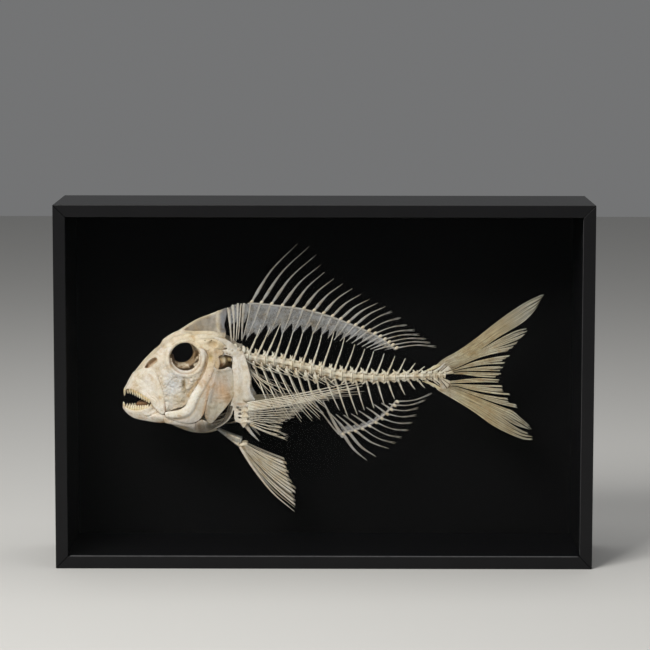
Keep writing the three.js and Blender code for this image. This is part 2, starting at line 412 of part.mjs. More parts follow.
// a lobe of the tail fin: flat rays that part towards their tips
function tailLobe(tipX, tipZ, b0, b1, bulge) {
  const fx = keys(tipX), fz = keys(tipZ);
  const fan = (u, v) => {
    const bx = mix(b0[0], b1[0], v), bz = mix(b0[1], b1[1], v), k = bulge * v * Math.sin(Math.PI * u);
    return [mix(bx, fx(v), u) - 0.5 * k * Math.sign(bulge), 0, mix(bz, fz(v), u) + k];
  };
  return range(0, TAIL_RAYS - 1).map(i => plate((u, v) => {
    const g = mix(0.05, 0.11, u);
    return fan(u, (i + mix(g, 1 - g, v)) / TAIL_RAYS);
  }, (u, v) => mix(1.8, 0.7, u), 2, 1)).concat([rod([fan(0.015, 0.01), fan(0.015, 0.99)], 2.6, [4, 3.4], 1)]);
}
const tailUpper = [
  ...tailLobe(UPPER_TIP_X, UPPER_TIP_Z, [125.4, 175.4], [117.5, 188], 4.6),
  ...range(0, 1).map(k => rod([[119 - 3 * k, 0, 189 - 2.6 * k], [104 - 6 * k, 0, 182 - 3 * k]], [1.6, 0.9], [2.2, 1], 1, 3)),
];
const tailLower = [
  ...tailLobe(LOWER_TIP_X, LOWER_TIP_Z, [123, 171.8], [114.8, 160], -4),
  ...range(0, 1).map(k => rod([[116.5 - 3 * k, 0, 159 + 2.6 * k], [103 - 5 * k, 0, 165 + 2 * k]], [1.6, 0.9], [2.2, 1], 1, 3)),
];

// --------------------------------------------------------------------- case
// section of a board: y across the depth of the case, t from its outer face
function board(length, place) {
  const f = -CASE_D / 2, b = CASE_D / 2;
  const s = new THREE.Shape([[f, 0], [b, 0], [b, BACK_REBATE], [b - BACK_T - GAP, BACK_REBATE], [b - BACK_T - GAP, BOARD],
    [f + GLASS_IN + GLASS_T + GAP, BOARD], [f + GLASS_IN + GLASS_T + GAP, BOARD - GLASS_GROOVE], [f + GLASS_IN - GAP, BOARD - GLASS_GROOVE],
    [f + GLASS_IN - GAP, BOARD], [f, BOARD]].map(p => new THREE.Vector2(...p)));
  const g = new THREE.ExtrudeGeometry(s, { depth: 1, bevelEnabled: false });
  return e => solidOf(bend(g.clone(), (y, t, l) => place(y, t, (l - 0.5) * 2 * (length / 2 - t - GAP / 2))));
}
const frameTop = [board(CASE_W, (y, t, l) => [l, y, CASE_H - t])];
const frameBottom = [board(CASE_W, (y, t, l) => [l, y, t])];
const frameLeft = [board(CASE_H, (y, t, l) => [-CASE_W / 2 + t, y, CASE_H / 2 + l])];
const frameRight = [board(CASE_H, (y, t, l) => [CASE_W / 2 - t, y, CASE_H / 2 + l])];
const pane = (inset, y0, y1) => [box(-CASE_W / 2 + inset, CASE_W / 2 - inset, y0, y1, inset, CASE_H - inset)];
const glass = pane(BOARD - GLASS_GROOVE + GAP, -CASE_D / 2 + GLASS_IN, -CASE_D / 2 + GLASS_IN + GLASS_T);
const backPanel = pane(BACK_REBATE + GAP, CASE_D / 2 - BACK_T, CASE_D / 2);
// steel pins from the back panel to the right side of the skull and column
const pin = (x, z, y0) => [e => solidOf(new THREE.CylinderGeometry(PIN_D / 2 + e, PIN_D / 2 + e, CASE_D / 2 - BACK_T - GAP - y0, 8)
  .translate(x, (CASE_D / 2 - BACK_T - GAP + y0) / 2, z))];

// -------------------------------------------------------------------- build
const parts = [];                        // {name, list, solid}
function trimmed(list) {                 // cut back from every piece made before
  let solid = unite(list, 0);
  for (const other of parts) {
    if (other.fixed) continue;
    const a = solid.boundingBox(), b = other.box;
    if ([0, 1, 2].some(i => a.min[i] > b.max[i] + GAP || b.min[i] > a.max[i] + GAP)) continue;
    if (solid.intersect(other.grown).volume() > 1e-4) solid = solid.subtract(other.grown);
  }
  return solid;
}
function add(name, list, colour, look = {}) {
  const solid = trimmed(list), grown = unite(list, GAP), box = solid.boundingBox();
  parts.push({ name, solid, grown, box, colour, look });
}
function pair(name, list, colour) {
  add(name + '_left', list, colour);
  add(name + '_right', mirror(list, 1), colour);
}

pair('upper_jaw', upperJaw, BONE_HEAD);
pair('lower_jaw', lowerJaw, BONE_HEAD);
add('skull', skull, BONE_HEAD);
add('spine_trunk', spineTrunk, BONE);
pair('ribs', ribsLeft, BONE);
add('spine_tail', spineTail, BONE);
pair('cheek', cheek, BONE_HEAD);
pair('preopercle', preopercle, BONE_HEAD);
pair('jaw_arch', jawArch, BONE_HEAD);
pair('opercle', opercle, BONE_HEAD);
pair('subopercle', subopercle, BONE_HEAD);
pair('shoulder', shoulder, BONE_HEAD);
add('throat', throat, BONE);
add('pectoral_fin_left', pectoral(0), BONE);
add('pectoral_fin_right', mirror(pectoral(PECTORAL_DROP), 1), BONE);
add('pelvis', pelvis, BONE);
pair('pelvic_fin', pelvicFin, BONE_TAN);
add('dorsal_fin', dorsalFin, BONE_GREY);
add('anal_fin', analFin, BONE_GREY);
add('tail_fin_upper', tailUpper, BONE_TAN);
add('tail_fin_lower', tailLower, BONE_TAN);
add('mount_pin_head', pin(-101, 205, 20.6), '#3a3a3e', { roughness: 0.4, metalness: 0.9 });
add('mount_pin_tail', pin(62.5, colZ(62.5), 4.6), '#3a3a3e', { roughness: 0.4, metalness: 0.9 });
for (const [name, list, colour, look] of [
  ['frame_top', frameTop, BLACK, { roughness: 0.6 }], ['frame_bottom', frameBottom, BLACK, { roughness: 0.6 }],
  ['frame_left', frameLeft, BLACK, { roughness: 0.6 }], ['frame_right', frameRight, BLACK, { roughness: 0.6 }],
  ['glass', glass, '#dfe6e4', { roughness: 0.05, transparent: true, opacity: 0.15 }],
  ['back_panel', backPanel, '#0c0c0d', { roughness: 0.9 }],
]) parts.push({ name, solid: unite(list, 0), fixed: true, colour, look });

// the largest connected body of a solid, as a geometry
function bodyOf(solid) {
  const m = solid.getMesh(), tv = m.triVerts, vp = m.vertProperties, n = vp.length / m.numProp;
  const root = new Int32Array(n).map((_, i) => i);
  const find = i => { while (root[i] !== i) { root[i] = root[root[i]]; i = root[i]; } return i; };
  if (m.mergeFromVert) for (let i = 0; i < m.mergeFromVert.length; i++) root[find(m.mergeFromVert[i])] = find(m.mergeToVert[i]);
  for (let i = 0; i < tv.length; i += 3) { root[find(tv[i])] = find(tv[i + 1]); root[find(tv[i + 1])] = find(tv[i + 2]); }
  const vol = new Map();
  const at = i => [vp[i * m.numProp], vp[i * m.numProp + 1], vp[i * m.numProp + 2]];
  for (let i = 0; i < tv.length; i += 3) {
    const [A, B, C] = [at(tv[i]), at(tv[i + 1]), at(tv[i + 2])], r = find(tv[i]);
    const v = (A[0] * (B[1] * C[2] - B[2] * C[1]) + A[1] * (B[2] * C[0] - B[0] * C[2]) + A[2] * (B[0] * C[1] - B[1] * C[0])) / 6;
    vol.set(r, (vol.get(r) || 0) + v);
  }
  const best = [...vol.entries()].sort((a, b) => b[1] - a[1])[0][0];
  const pos = [];
  for (let i = 0; i < tv.length; i += 3) if (find(tv[i]) === best) for (let k = 0; k < 3; k++) pos.push(...at(tv[i + k]));
  let g = new THREE.BufferGeometry();
  g.setAttribute('position', new THREE.Float32BufferAttribute(pos, 3));
  g = mergeVertices(g, 1e-6);
  g.computeVertexNormals();
  return g;
}

const model = new THREE.Group();
for (const p of parts) {
  const mesh = new THREE.Mesh(bodyOf(p.solid), new THREE.MeshStandardMaterial({ color: p.colour, roughness: 0.62, metalness: 0, ...p.look }));
  mesh.name = p.name;
  model.add(mesh);
}
export default model;
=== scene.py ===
"""Sea bream skeleton in a glazed shadow-box case: looks.

Everything is worked out in millimetres in the part's own frame (head towards
-X, left flank towards -Y, +Z up) and written to Blender in metres.
"""
import math
import bpy
import numpy as np
from mathutils import Matrix
import openvdb


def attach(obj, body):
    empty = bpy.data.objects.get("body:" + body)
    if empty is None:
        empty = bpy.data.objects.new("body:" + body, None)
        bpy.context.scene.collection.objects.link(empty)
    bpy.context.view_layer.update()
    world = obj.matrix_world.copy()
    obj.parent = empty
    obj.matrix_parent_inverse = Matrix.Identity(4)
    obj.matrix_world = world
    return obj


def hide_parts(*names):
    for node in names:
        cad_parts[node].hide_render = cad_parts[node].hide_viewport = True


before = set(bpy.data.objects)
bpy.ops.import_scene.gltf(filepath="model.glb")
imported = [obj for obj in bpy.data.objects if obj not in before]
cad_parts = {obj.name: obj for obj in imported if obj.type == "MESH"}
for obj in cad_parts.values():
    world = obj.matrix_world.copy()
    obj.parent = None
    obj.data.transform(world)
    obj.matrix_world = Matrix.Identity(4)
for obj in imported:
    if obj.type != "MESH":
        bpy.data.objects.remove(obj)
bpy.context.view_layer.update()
MM = 0.001

# ----------------------------------------------------------------- dimensions
CASE_W, CASE_H, CASE_D = 500.0, 340.0, 120.0
BOARD = 11.4
GLASS_T, GLASS_IN, GLASS_GROOVE = 2.0, 3.0, 3.4
BACK_T, BACK_REBATE = 3.7, 5.4
GAP = 0.3

# colours, linear
CREAM = np.array([0.80, 0.735, 0.60])
IVORY = np.array([0.865, 0.82, 0.735])
YELLOW = np.array([0.72, 0.61, 0.38])
TAN = np.array([0.52, 0.36, 0.17])
BROWN = np.array([0.25, 0.13, 0.05])
PINK = np.array([0.66, 0.47, 0.34])
GREY = np.array([0.42, 0.40, 0.37])
WHITE_GREY = np.array([0.66, 0.63, 0.57])


# -------------------------------------------------------------------- helpers
def keys(tab):
    """Monotone cubic through a short table."""
    xs = np.array([p[0] for p in tab], float)
    ys = np.array([p[1] for p in tab], float)
    h = np.diff(xs)
    d = np.diff(ys) / h
    m = np.zeros(len(xs))
    m[0], m[-1] = d[0], d[-1]
    for i in range(1, len(xs) - 1):
        if d[i - 1] * d[i] > 0:
            a, b = 2 * h[i] + h[i - 1], h[i] + 2 * h[i - 1]
            m[i] = (a + b) / (a / d[i - 1] + b / d[i])

    def f(x):
        x = np.asarray(x, float)
        i = np.clip(np.searchsorted(xs, x, side="right") - 1, 0, len(xs) - 2)
        t = (x - xs[i]) / h[i]
        t2, t3 = t * t, t * t * t
        y = ((2 * t3 - 3 * t2 + 1) * ys[i] + (t3 - 2 * t2 + t) * h[i] * m[i]
             + (3 * t2 - 2 * t3) * ys[i + 1] + (t3 - t2) * h[i] * m[i + 1])
        y = np.where(x < xs[0], ys[0] + m[0] * (x - xs[0]), y)
        return np.where(x > xs[-1], ys[-1] + m[-1] * (x - xs[-1]), y)
    return f


def mix(a, b, t):
    return a + (b - a) * t


def smooth(x, a, b):
    t = np.clip((np.asarray(x, float) - a) / (b - a), 0, 1)
    return t * t * (3 - 2 * t)


def along(w):
    if callable(w):
        return w
    if np.isscalar(w):
        return lambda t: np.full_like(np.asarray(t, float), float(w))
    return keys([[i / (len(w) - 1), v] for i, v in enumerate(w)])


def spline(points):
    """Catmull-Rom curve through points, t from 0 to 1."""
    p = np.array(points, float)
    p = np.vstack([2 * p[0] - p[1], p, 2 * p[-1] - p[-2]])
    n = len(points) - 1

    def f(t):
        s = np.clip(np.asarray(t, float), 0, 1) * n
        i = np.clip(s.astype(int), 0, n - 1)
        u = (s - i)[..., None]
        a, b, c, d = p[i], p[i + 1], p[i + 2], p[i + 3]
        return 0.5 * (2 * b + (c - a) * u + (2 * a - 5 * b + 4 * c - d) * u ** 2 + (3 * b - a - 3 * c + d) * u ** 3)
    return f


def hash3(ix, iy, iz, seed):
    h = (ix.astype(np.int64) * 374761393 + iy.astype(np.int64) * 668265263 + iz.astype(np.int64) * 2147483647 + seed * 1274126177) & 0xffffffff
    h = ((h ^ (h >> 13)) * 1274126177) & 0xffffffff
    h = (h ^ (h >> 16)) & 0xffffffff
    return h.astype(float) / 0xffffffff * 2 - 1


def noise(P, size, seed=0):
    """Smooth value noise in -1..1 with features of the given size."""
    q = np.asarray(P, float) / size + 1000
    i = np.floor(q).astype(np.int64)
    f = q - i
    f = f * f * (3 - 2 * f)
    out = 0
    for dx in (0, 1):
        for dy in (0, 1):
            for dz in (0, 1):
                w = (f[..., 0] if dx else 1 - f[..., 0]) * (f[..., 1] if dy else 1 - f[..., 1]) * (f[..., 2] if dz else 1 - f[..., 2])
                out = out + w * hash3(i[..., 0] + dx, i[..., 1] + dy, i[..., 2] + dz, seed)
    return out


def fbm(P, size, seed=0, octaves=3):
    out, a, tot = 0, 1.0, 0.0
    for k in range(octaves):
        out = out + a * noise(P, size / 2 ** k, seed + 17 * k)
        tot += a
        a *= 0.5
    return out / tot


def poly_dist(x, z, line):
    """Distance in the plane of the fish to a polyline, and the place along it."""
    best = np.full(x.shape, 1e9)
    place = np.zeros(x.shape)
    n = len(line) - 1
    for i in range(n):
        (x0, z0), (x1, z1) = line[i], line[i + 1]
        dx, dz = x1 - x0, z1 - z0
        t = np.clip(((x - x0) * dx + (z - z0) * dz) / (dx * dx + dz * dz), 0, 1)
        d = np.hypot(x - x0 - t * dx, z - z0 - t * dz)
        place = np.where(d < best, (i + t) / n, place)
        best = np.minimum(best, d)
    return best, place


def smooth_line(points, n=24):
    c = spline([(p[0], p[1], 0) for p in points])(np.linspace(0, 1, n))
    return [(a[0], a[1]) for a in c]


def bump(d, width):
    return np.exp(-(d / width) ** 2)


def blob(x, z, x0, z0, rx, rz, turn=0.0):
    c, s = math.cos(turn), math.sin(turn)
    u, v = (x - x0) * c + (z - z0) * s, -(x - x0) * s + (z - z0) * c
    return np.exp(-(u / rx) ** 2 - (v / rz) ** 2)


class Shape:
    """Vertices, faces and a colour for each vertex, in millimetres."""

    def __init__(self):
        self.v, self.f, self.c, self.n = [], [], [], 0

    def add(self, V, F, colour=CREAM):
        V = np.asarray(V, float).reshape(-1, 3)
        self.v.append(V)
        self.f += [tuple(int(i) + self.n for i in face) for face in F]
        c = np.asarray(colour, float)
        self.c.append(np.broadcast_to(c, (len(V), 3)).copy() if c.ndim == 1 else c.reshape(-1, 3))
        self.n += len(V)
        return self

    def join(self, other, flip_y=False):
        for V, C in zip(other.v, other.c):
            V = V.copy()
            if flip_y:
                V[:, 1] *= -1
            self.v.append(V)
            self.c.append(C)
        self.f += [tuple(i + self.n for i in (reversed(face) if flip_y else face)) for face in other.f]
        self.n += other.n
        return self

    def verts(self):
        return np.vstack(self.v)

    def colours(self):
        return np.vstack(self.c)

    def mirrored(self):
        return Shape().join(self, True)


def grid_faces(rows, cols, wrap=False):
    i, j = np.meshgrid(np.arange(rows - 1), np.arange(cols if wrap else cols - 1), indexing="ij")
    a = i * cols + j
    b = i * cols + (j + 1) % cols
    return np.stack([a, b, b + cols, a + cols], -1).reshape(-1, 4)


def frames(c):
    """Tangent, across-the-fish and in-plane directions along a sampled curve."""
    T = np.gradient(c, axis=0)
    T /= np.linalg.norm(T, axis=1, keepdims=True) + 1e-12
    side = np.where(np.abs(T[:, 1:2]) > 0.93, np.array([[0.0, 0.0, 1.0]]), np.array([[0.0, 1.0, 0.0]]))
    N = side - T * np.sum(side * T, 1, keepdims=True)
    N /= np.linalg.norm(N, axis=1, keepdims=True)
    return T, N, np.cross(T, N)


def rod(points, w, h, n=14, sides=8, colour=CREAM, rough=0.0, seed=0, ends=(1, 1), groove=0.0):
    """A bone rod: w across the fish, h in its plane; ends 1 round, 0 cut."""
    curve = spline(points)
    t = np.linspace(0, 1, n + 1)
    c = curve(t)
    length = np.sum(np.linalg.norm(np.diff(c, axis=0), axis=1))
    fw, fh = along(w), along(h)
    if ends[0]:
        r0 = min(float(fh(0.0)) * 0.5 / max(length, 1e-6), 0.2)
        t = np.concatenate([r0 * np.array([0.0, 0.12, 0.4]), t[t > r0 * 0.95]])
    if ends[1]:
        r1 = min(float(fh(1.0)) * 0.5 / max(length, 1e-6), 0.2)
        t = np.concatenate([t[t < 1 - r1 * 0.95], 1 - r1 * np.array([0.4, 0.12, 0.0])])
    c = curve(t)
    T, N, B = frames(curve(np.clip(t, 0.004, 0.996)))
    if len(t) > 4:
        T2, N2, B2 = frames(c)
        N, B = N2, B2
    a, b = fw(t) / 2, fh(t) / 2
    k = np.ones_like(t)
    if ends[0]:
        s = np.clip(t / r0, 0, 1)
        k *= np.sqrt(np.clip(1 - (1 - s) ** 2, 0.01, 1))
    if ends[1]:
        s = np.clip((1 - t) / r1, 0, 1)
        k *= np.sqrt(np.clip(1 - (1 - s) ** 2, 0.01, 1))
    th = np.arange(sides) / sides * 2 * np.pi
    g = 1 - groove * np.cos(th) ** 2
    V = c[:, None] + N[:, None] * (a * k)[:, None, None] * (np.cos(th) * g)[None, :, None] \
        + B[:, None] * (b * k)[:, None, None] * np.sin(th)[None, :, None]
    if rough:
        V = V + noise(V, max(1.2, float(np.mean(fh(t)))), seed)[..., None] * rough * (V - c[:, None]) / (np.linalg.norm(V - c[:, None], axis=2, keepdims=True) + 1e-6)
    F = grid_faces(len(t), sides, True).tolist()
    F.append(tuple(range(sides - 1, -1, -1)))
    F.append(tuple(range((len(t) - 1) * sides, len(t) * sides)))
    col = colour(V.reshape(-1, 3), np.repeat(t, sides)) if callable(colour) else colour
    return Shape().add(V.reshape(-1, 3), F, col)


def plate(f, thickness, nu, nv, edge=1.0, out=(0, -1, 0), relief=None, colour=CREAM, lift=0.0):
    """A curved sheet f(u, v) with rounded edges. relief(x, z) is added on its
    outer side; colour may be a function of the points."""
    U, V = np.meshgrid(np.linspace(0, 1, nu + 1), np.linspace(0, 1, nv + 1), indexing="ij")
    C = f(U, V)
    Cu, Cv = np.gradient(C, axis=0), np.gradient(C, axis=1)
    N = np.cross(Cu, Cv)
    N /= np.linalg.norm(N, axis=2, keepdims=True) + 1e-12
    if np.mean(N @ np.array(out, float)) < 0:
        N = -N
    lu, lv = np.linalg.norm(Cu, axis=2), np.linalg.norm(Cv, axis=2)
    iu = np.cumsum(lu, 0) - lu[:1]
    iv = np.cumsum(lv, 1) - lv[:, :1]
    d = np.minimum(np.minimum(iu, iu[-1:] - iu), np.minimum(iv, iv[:, -1:] - iv))
    d[0], d[-1], d[:, 0], d[:, -1] = 0, 0, 0, 0
    k = np.sqrt(np.clip(1 - (1 - np.clip(d / edge, 0, 1)) ** 2, 0, 1))
    th = thickness(U, V) if callable(thickness) else np.full(U.shape, float(thickness))
    off = (th / 2 * k)[..., None]
    top = C + N * off
    bot = C - N * off
    if relief is not None:
        r = relief(C[..., 0], C[..., 2]) * np.clip(d / edge, 0, 1)
        top = top + N * r[..., None]
        bot = bot + N * np.minimum(r, 0)[..., None]
    rows, cols = nu + 1, nv + 1
    idx = np.arange(rows * cols).reshape(rows, cols)
    low = idx.copy()
    inner = np.zeros((rows, cols), bool)
    inner[1:-1, 1:-1] = True
    low[inner] = rows * cols + np.arange(inner.sum())
    F = []
    q = np.stack([idx[:-1, :-1], idx[1:, :-1], idx[1:, 1:], idx[:-1, 1:]], -1).reshape(-1, 4)
    q2 = np.stack([low[:-1, :-1], low[:-1, 1:], low[1:, 1:], low[1:, :-1]], -1).reshape(-1, 4)
    # make the outer sheet face outwards
    a, b, c = top.reshape(-1, 3)[q[len(q) // 2, :3]]
    if np.dot(np.cross(b - a, c - a), np.array(out, float)) < 0:
        q, q2 = q[:, ::-1], q2[:, ::-1]
    F = [tuple(x) for x in q] + [tuple(x) for x in q2]
    P = np.vstack([top.reshape(-1, 3), bot[inner]])
    col = colour(P) if callable(colour) else colour
    return Shape().add(P, F, col)


def band(line, width, depth, thickness, nu, nv, **kw):
    curve = spline([(p[0], 0, p[1]) for p in line])
    fw, fy = along(width), along(depth)
    tt = np.linspace(0, 1, nu + 1)
    c = curve(tt)
    T = np.gradient(c, axis=0)
    T /= np.linalg.norm(T, axis=1, keepdims=True)

    def f(U, V):
        k = (V - 0.5) * fw(tt)[:, None]
        y = fy(tt)[:, None] + 0 * k
        return np.stack([c[:, None, 0] - T[:, None, 2] * k, y, c[:, None, 2] + T[:, None, 0] * k], -1)
    return plate(f, thickness, nu, nv, **kw)


def barrel(centre, ring, ns, na, colour=CREAM):
    """A closed body of rings; centre(t) and ring(t, angle) in millimetres."""
    t = np.linspace(0, 1, ns + 1)
    a = np.arange(na) / na * 2 * np.pi
    Tt, A = np.meshgrid(t, a, indexing="ij")
    V = centre(Tt) + ring(Tt, A)
    P = V.reshape(-1, 3)
    F = [tuple(q) for q in grid_faces(ns + 1, na, True)]
    F.append(tuple(range(na - 1, -1, -1)))
    F.append(tuple(range(ns * na, (ns + 1) * na)))
    s = Shape().add(P, F, colour(P) if callable(colour) else colour)
    vol = 0.0
    for q in F[:-2]:
        A_, B_, C_, D_ = P[list(q)]
        vol += np.dot(A_, np.cross(B_, C_)) + np.dot(A_, np.cross(C_, D_))
    if vol < 0:
        s.f = [tuple(reversed(x)) for x in s.f]
    return s


# ------------------------------------------------------------------ materials
def node_tree(name):
    m = bpy.data.materials.new(name)
    m.use_nodes = True
    nt = m.node_tree
    nt.nodes.clear()
    out = nt.nodes.new("ShaderNodeOutputMaterial")
    p = nt.nodes.new("ShaderNodeBsdfPrincipled")
    nt.links.new(p.outputs[0], out.inputs[0])
    return m, nt, p


def add(nt, kind, **props):
    n = nt.nodes.new(kind)
    for k, v in props.items():
        setattr(n, k, v)
    return n


def tex_noise(nt, coord, scale, detail=3.0, rough=0.55, stretch=None):
    n = add(nt, "ShaderNodeTexNoise")
    n.inputs["Scale"].default_value = scale
    n.inputs["Detail"].default_value = detail
    n.inputs["Roughness"].default_value = rough
    if stretch is not None:
        mp = add(nt, "ShaderNodeMapping")
        mp.inputs["Scale"].default_value = stretch
        nt.links.new(coord, mp.inputs["Vector"])
        coord = mp.outputs[0]
    nt.links.new(coord, n.inputs["Vector"])
    return n.outputs["Fac"]


def ramp(nt, fac, stops, mode="LINEAR"):
    r = add(nt, "ShaderNodeValToRGB")
    r.color_ramp.interpolation = mode
    els = r.color_ramp.elements
    while len(els) > 1:
        els.remove(els[-1])
    els[0].position, els[0].color = stops[0][0], (*stops[0][1], 1)
    for pos, col in stops[1:]:
        e = els.new(pos)
        e.color = (*col, 1)
    nt.links.new(fac, r.inputs["Fac"])
    return r.outputs["Color"]


def mul(nt, a, b, fac=1.0):
    n = add(nt, "ShaderNodeMix", data_type="RGBA", blend_type="MULTIPLY")
    n.inputs[0].default_value = fac
    nt.links.new(a, n.inputs[6])
    nt.links.new(b, n.inputs[7])
    return n.outputs[2]


def bone_material(name, roughness=0.52, sss=0.12, grain=0.25, stretch=(1, 1, 1), alpha=None, alpha_noise=0.0, crevice_shade=0.55, hollow_shade=0.85):
    m, nt, p = node_tree(name)
    obj = add(nt, "ShaderNodeTexCoord").outputs["Object"]
    col = add(nt, "ShaderNodeAttribute", attribute_name="bone").outputs["Color"]
    big = tex_noise(nt, obj, 55, 3, 0.5, stretch)
    col = mul(nt, col, ramp(nt, big, [(0.30, (0.90, 0.84, 0.73)), (0.60, (1.0, 1.0, 1.0))]))
    blot = tex_noise(nt, obj, 150, 5, 0.65, stretch)
    col = mul(nt, col, ramp(nt, blot, [(0.50, (1.0, 1.0, 1.0)), (0.70, (0.74, 0.60, 0.42))]), 0.75)
    # painted shade: ambient occlusion darkens the colour towards brown in hollows and where parts lie close
    if hollow_shade:
        ao = add(nt, "ShaderNodeAmbientOcclusion")
        ao.samples = 6
        ao.inputs["Distance"].default_value = 0.006
    col = mul(nt, col, ramp(nt, ao.outputs["AO"], [(0.25, (0.40, 0.28, 0.17)), (0.80, (1.0, 1.0, 1.0))]), hollow_shade) if hollow_shade else col
    fine = tex_noise(nt, obj, 420, 4, 0.6, stretch)
    col = mul(nt, col, ramp(nt, fine, [(0.25, (0.84, 0.80, 0.73)), (0.55, (1.0, 1.0, 1.0))]))
    geo = add(nt, "ShaderNodeNewGeometry")
    # painted shade: concave creases, found by pointiness, darken towards brown
    col = mul(nt, col, ramp(nt, geo.outputs["Pointiness"], [(0.40, (0.52, 0.38, 0.22)), (0.49, (1.0, 1.0, 1.0))]), crevice_shade)
    nt.links.new(col, p.inputs["Base Color"])
    rr = add(nt, "ShaderNodeMapRange")
    rr.inputs["To Min"].default_value = roughness - 0.10
    rr.inputs["To Max"].default_value = roughness + 0.12
    nt.links.new(fine, rr.inputs["Value"])
    nt.links.new(rr.outputs[0], p.inputs["Roughness"])
    p.inputs["Subsurface Weight"].default_value = sss
    p.inputs["Subsurface Radius"].default_value = (1.0, 0.62, 0.36)
    p.inputs["Subsurface Scale"].default_value = 0.0018
    sp = add(nt, "ShaderNodeMapRange")
    sp.inputs["From Min"].default_value = 0.08
    sp.inputs["From Max"].default_value = 0.45
    sp.inputs["To Min"].default_value = 0.04
    sp.inputs["To Max"].default_value = 0.42
    nt.links.new(col, sp.inputs["Value"])
    nt.links.new(sp.outputs[0], p.inputs["Specular IOR Level"])
    b = add(nt, "ShaderNodeBump")
    b.inputs["Strength"].default_value = grain
    b.inputs["Distance"].default_value = 0.0008
    h1 = tex_noise(nt, obj, 900, 4, 0.6, stretch)
    h2 = tex_noise(nt, obj, 190, 3, 0.5, stretch)
    s = add(nt, "ShaderNodeMath", operation="ADD")
    nt.links.new(h1, s.inputs[0])
    nt.links.new(h2, s.inputs[1])
    nt.links.new(s.outputs[0], b.inputs["Height"])
    nt.links.new(b.outputs[0], p.inputs["Normal"])
    if alpha is not None:
        if alpha_noise:
            a = add(nt, "ShaderNodeMapRange")
            a.inputs["From Min"].default_value = 0.3
            a.inputs["From Max"].default_value = 0.7
            a.inputs["To Min"].default_value = alpha - alpha_noise
            a.inputs["To Max"].default_value = alpha + alpha_noise
            nt.links.new(tex_noise(nt, obj, 160, 4, 0.6, stretch), a.inputs["Value"])
            nt.links.new(a.outputs[0], p.inputs["Alpha"])
        else:
            p.inputs["Alpha"].default_value = alpha
    return m


def frame_material():
    m, nt, p = node_tree("black_satin_wood")
    obj = add(nt, "ShaderNodeTexCoord").outputs["Object"]
    grain = tex_noise(nt, obj, 24, 6, 0.6, (1, 1, 1))
    fine = tex_noise(nt, obj, 600, 3, 0.6)
    col = ramp(nt, grain, [(0.3, (0.0030, 0.0030, 0.0036)), (0.7, (0.0044, 0.0044, 0.0052))])
    nt.links.new(col, p.inputs["Base Color"])
    r = add(nt, "ShaderNodeMapRange")
    r.inputs["To Min"].default_value = 0.26
    r.inputs["To Max"].default_value = 0.40
    p.inputs["Specular IOR Level"].default_value = 0.24
    nt.links.new(fine, r.inputs["Value"])
    nt.links.new(r.outputs[0], p.inputs["Roughness"])
    b = add(nt, "ShaderNodeBump")
    b.inputs["Strength"].default_value = 0.12
    b.inputs["Distance"].default_value = 0.0004
    nt.links.new(tex_noise(nt, obj, 300, 4, 0.6, (0.25, 1, 1)), b.inputs["Height"])
    nt.links.new(b.outputs[0], p.inputs["Normal"])
    return m


def plain_material(name, colour, roughness, noise_scale=300, spread=0.25, metallic=0.0, spec=0.5):
    m, nt, p = node_tree(name)
    obj = add(nt, "ShaderNodeTexCoord").outputs["Object"]
    n = tex_noise(nt, obj, noise_scale, 4, 0.6)
    c = np.array(colour)
    nt.links.new(ramp(nt, n, [(0.3, tuple(c * (1 - spread))), (0.7, tuple(np.minimum(c * (1 + spread), 1)))]), p.inputs["Base Color"])
    p.inputs["Roughness"].default_value = roughness
    p.inputs["Metallic"].default_value = metallic
    p.inputs["Specular IOR Level"].default_value = spec
    b = add(nt, "ShaderNodeBump")
    b.inputs["Strength"].default_value = 0.1
    b.inputs["Distance"].default_value = 0.0003
    nt.links.new(n, b.inputs["Height"])
    nt.links.new(b.outputs[0], p.inputs["Normal"])
    return m


M_HEAD = bone_material("bone_head", 0.46, 0.08, 0.65, crevice_shade=0.80)
M_BONE = bone_material("bone_column", 0.52, 0.10, 0.30, crevice_shade=0.80, hollow_shade=0.75)
M_FIN = bone_material("bone_fin_ray", 0.55, 0.08, 0.20, (1, 1, 1), crevice_shade=0.3, hollow_shade=0.35)
M_WEB = bone_material("bone_web", 0.60, 0.0, 0.30, (1, 1, 1), alpha=0.50, alpha_noise=0.20, crevice_shade=0.1, hollow_shade=0)
M_CREST = bone_material("bone_crest", 0.55, 0.0, 0.25, (1, 1, 1), alpha=0.80, alpha_noise=0.12, crevice_shade=0.2, hollow_shade=0.3)
M_TAIL = bone_material("bone_tail_ray", 0.55, 0.06, 0.30, (1, 1, 1), crevice_shade=0.6, hollow_shade=0.45)
M_TOOTH = bone_material("tooth", 0.28, 0.2, 0.05, crevice_shade=0.3)
M_FRAME = frame_material()
M_LINING = plain_material("black_lining", (0.0052, 0.0052, 0.0055), 0.95, 700, 0.15, spec=0.0)
# painted highlight: lighter satin black for the strips that stand for the light caught on the front lip
M_LIP = plain_material("lip_painted_highlight", (0.085, 0.085, 0.09), 0.45, 500, 0.35, spec=0.4)
M_PIN = plain_material("pin_steel", (0.10, 0.10, 0.11), 0.38, 400, 0.2, metallic=1.0)


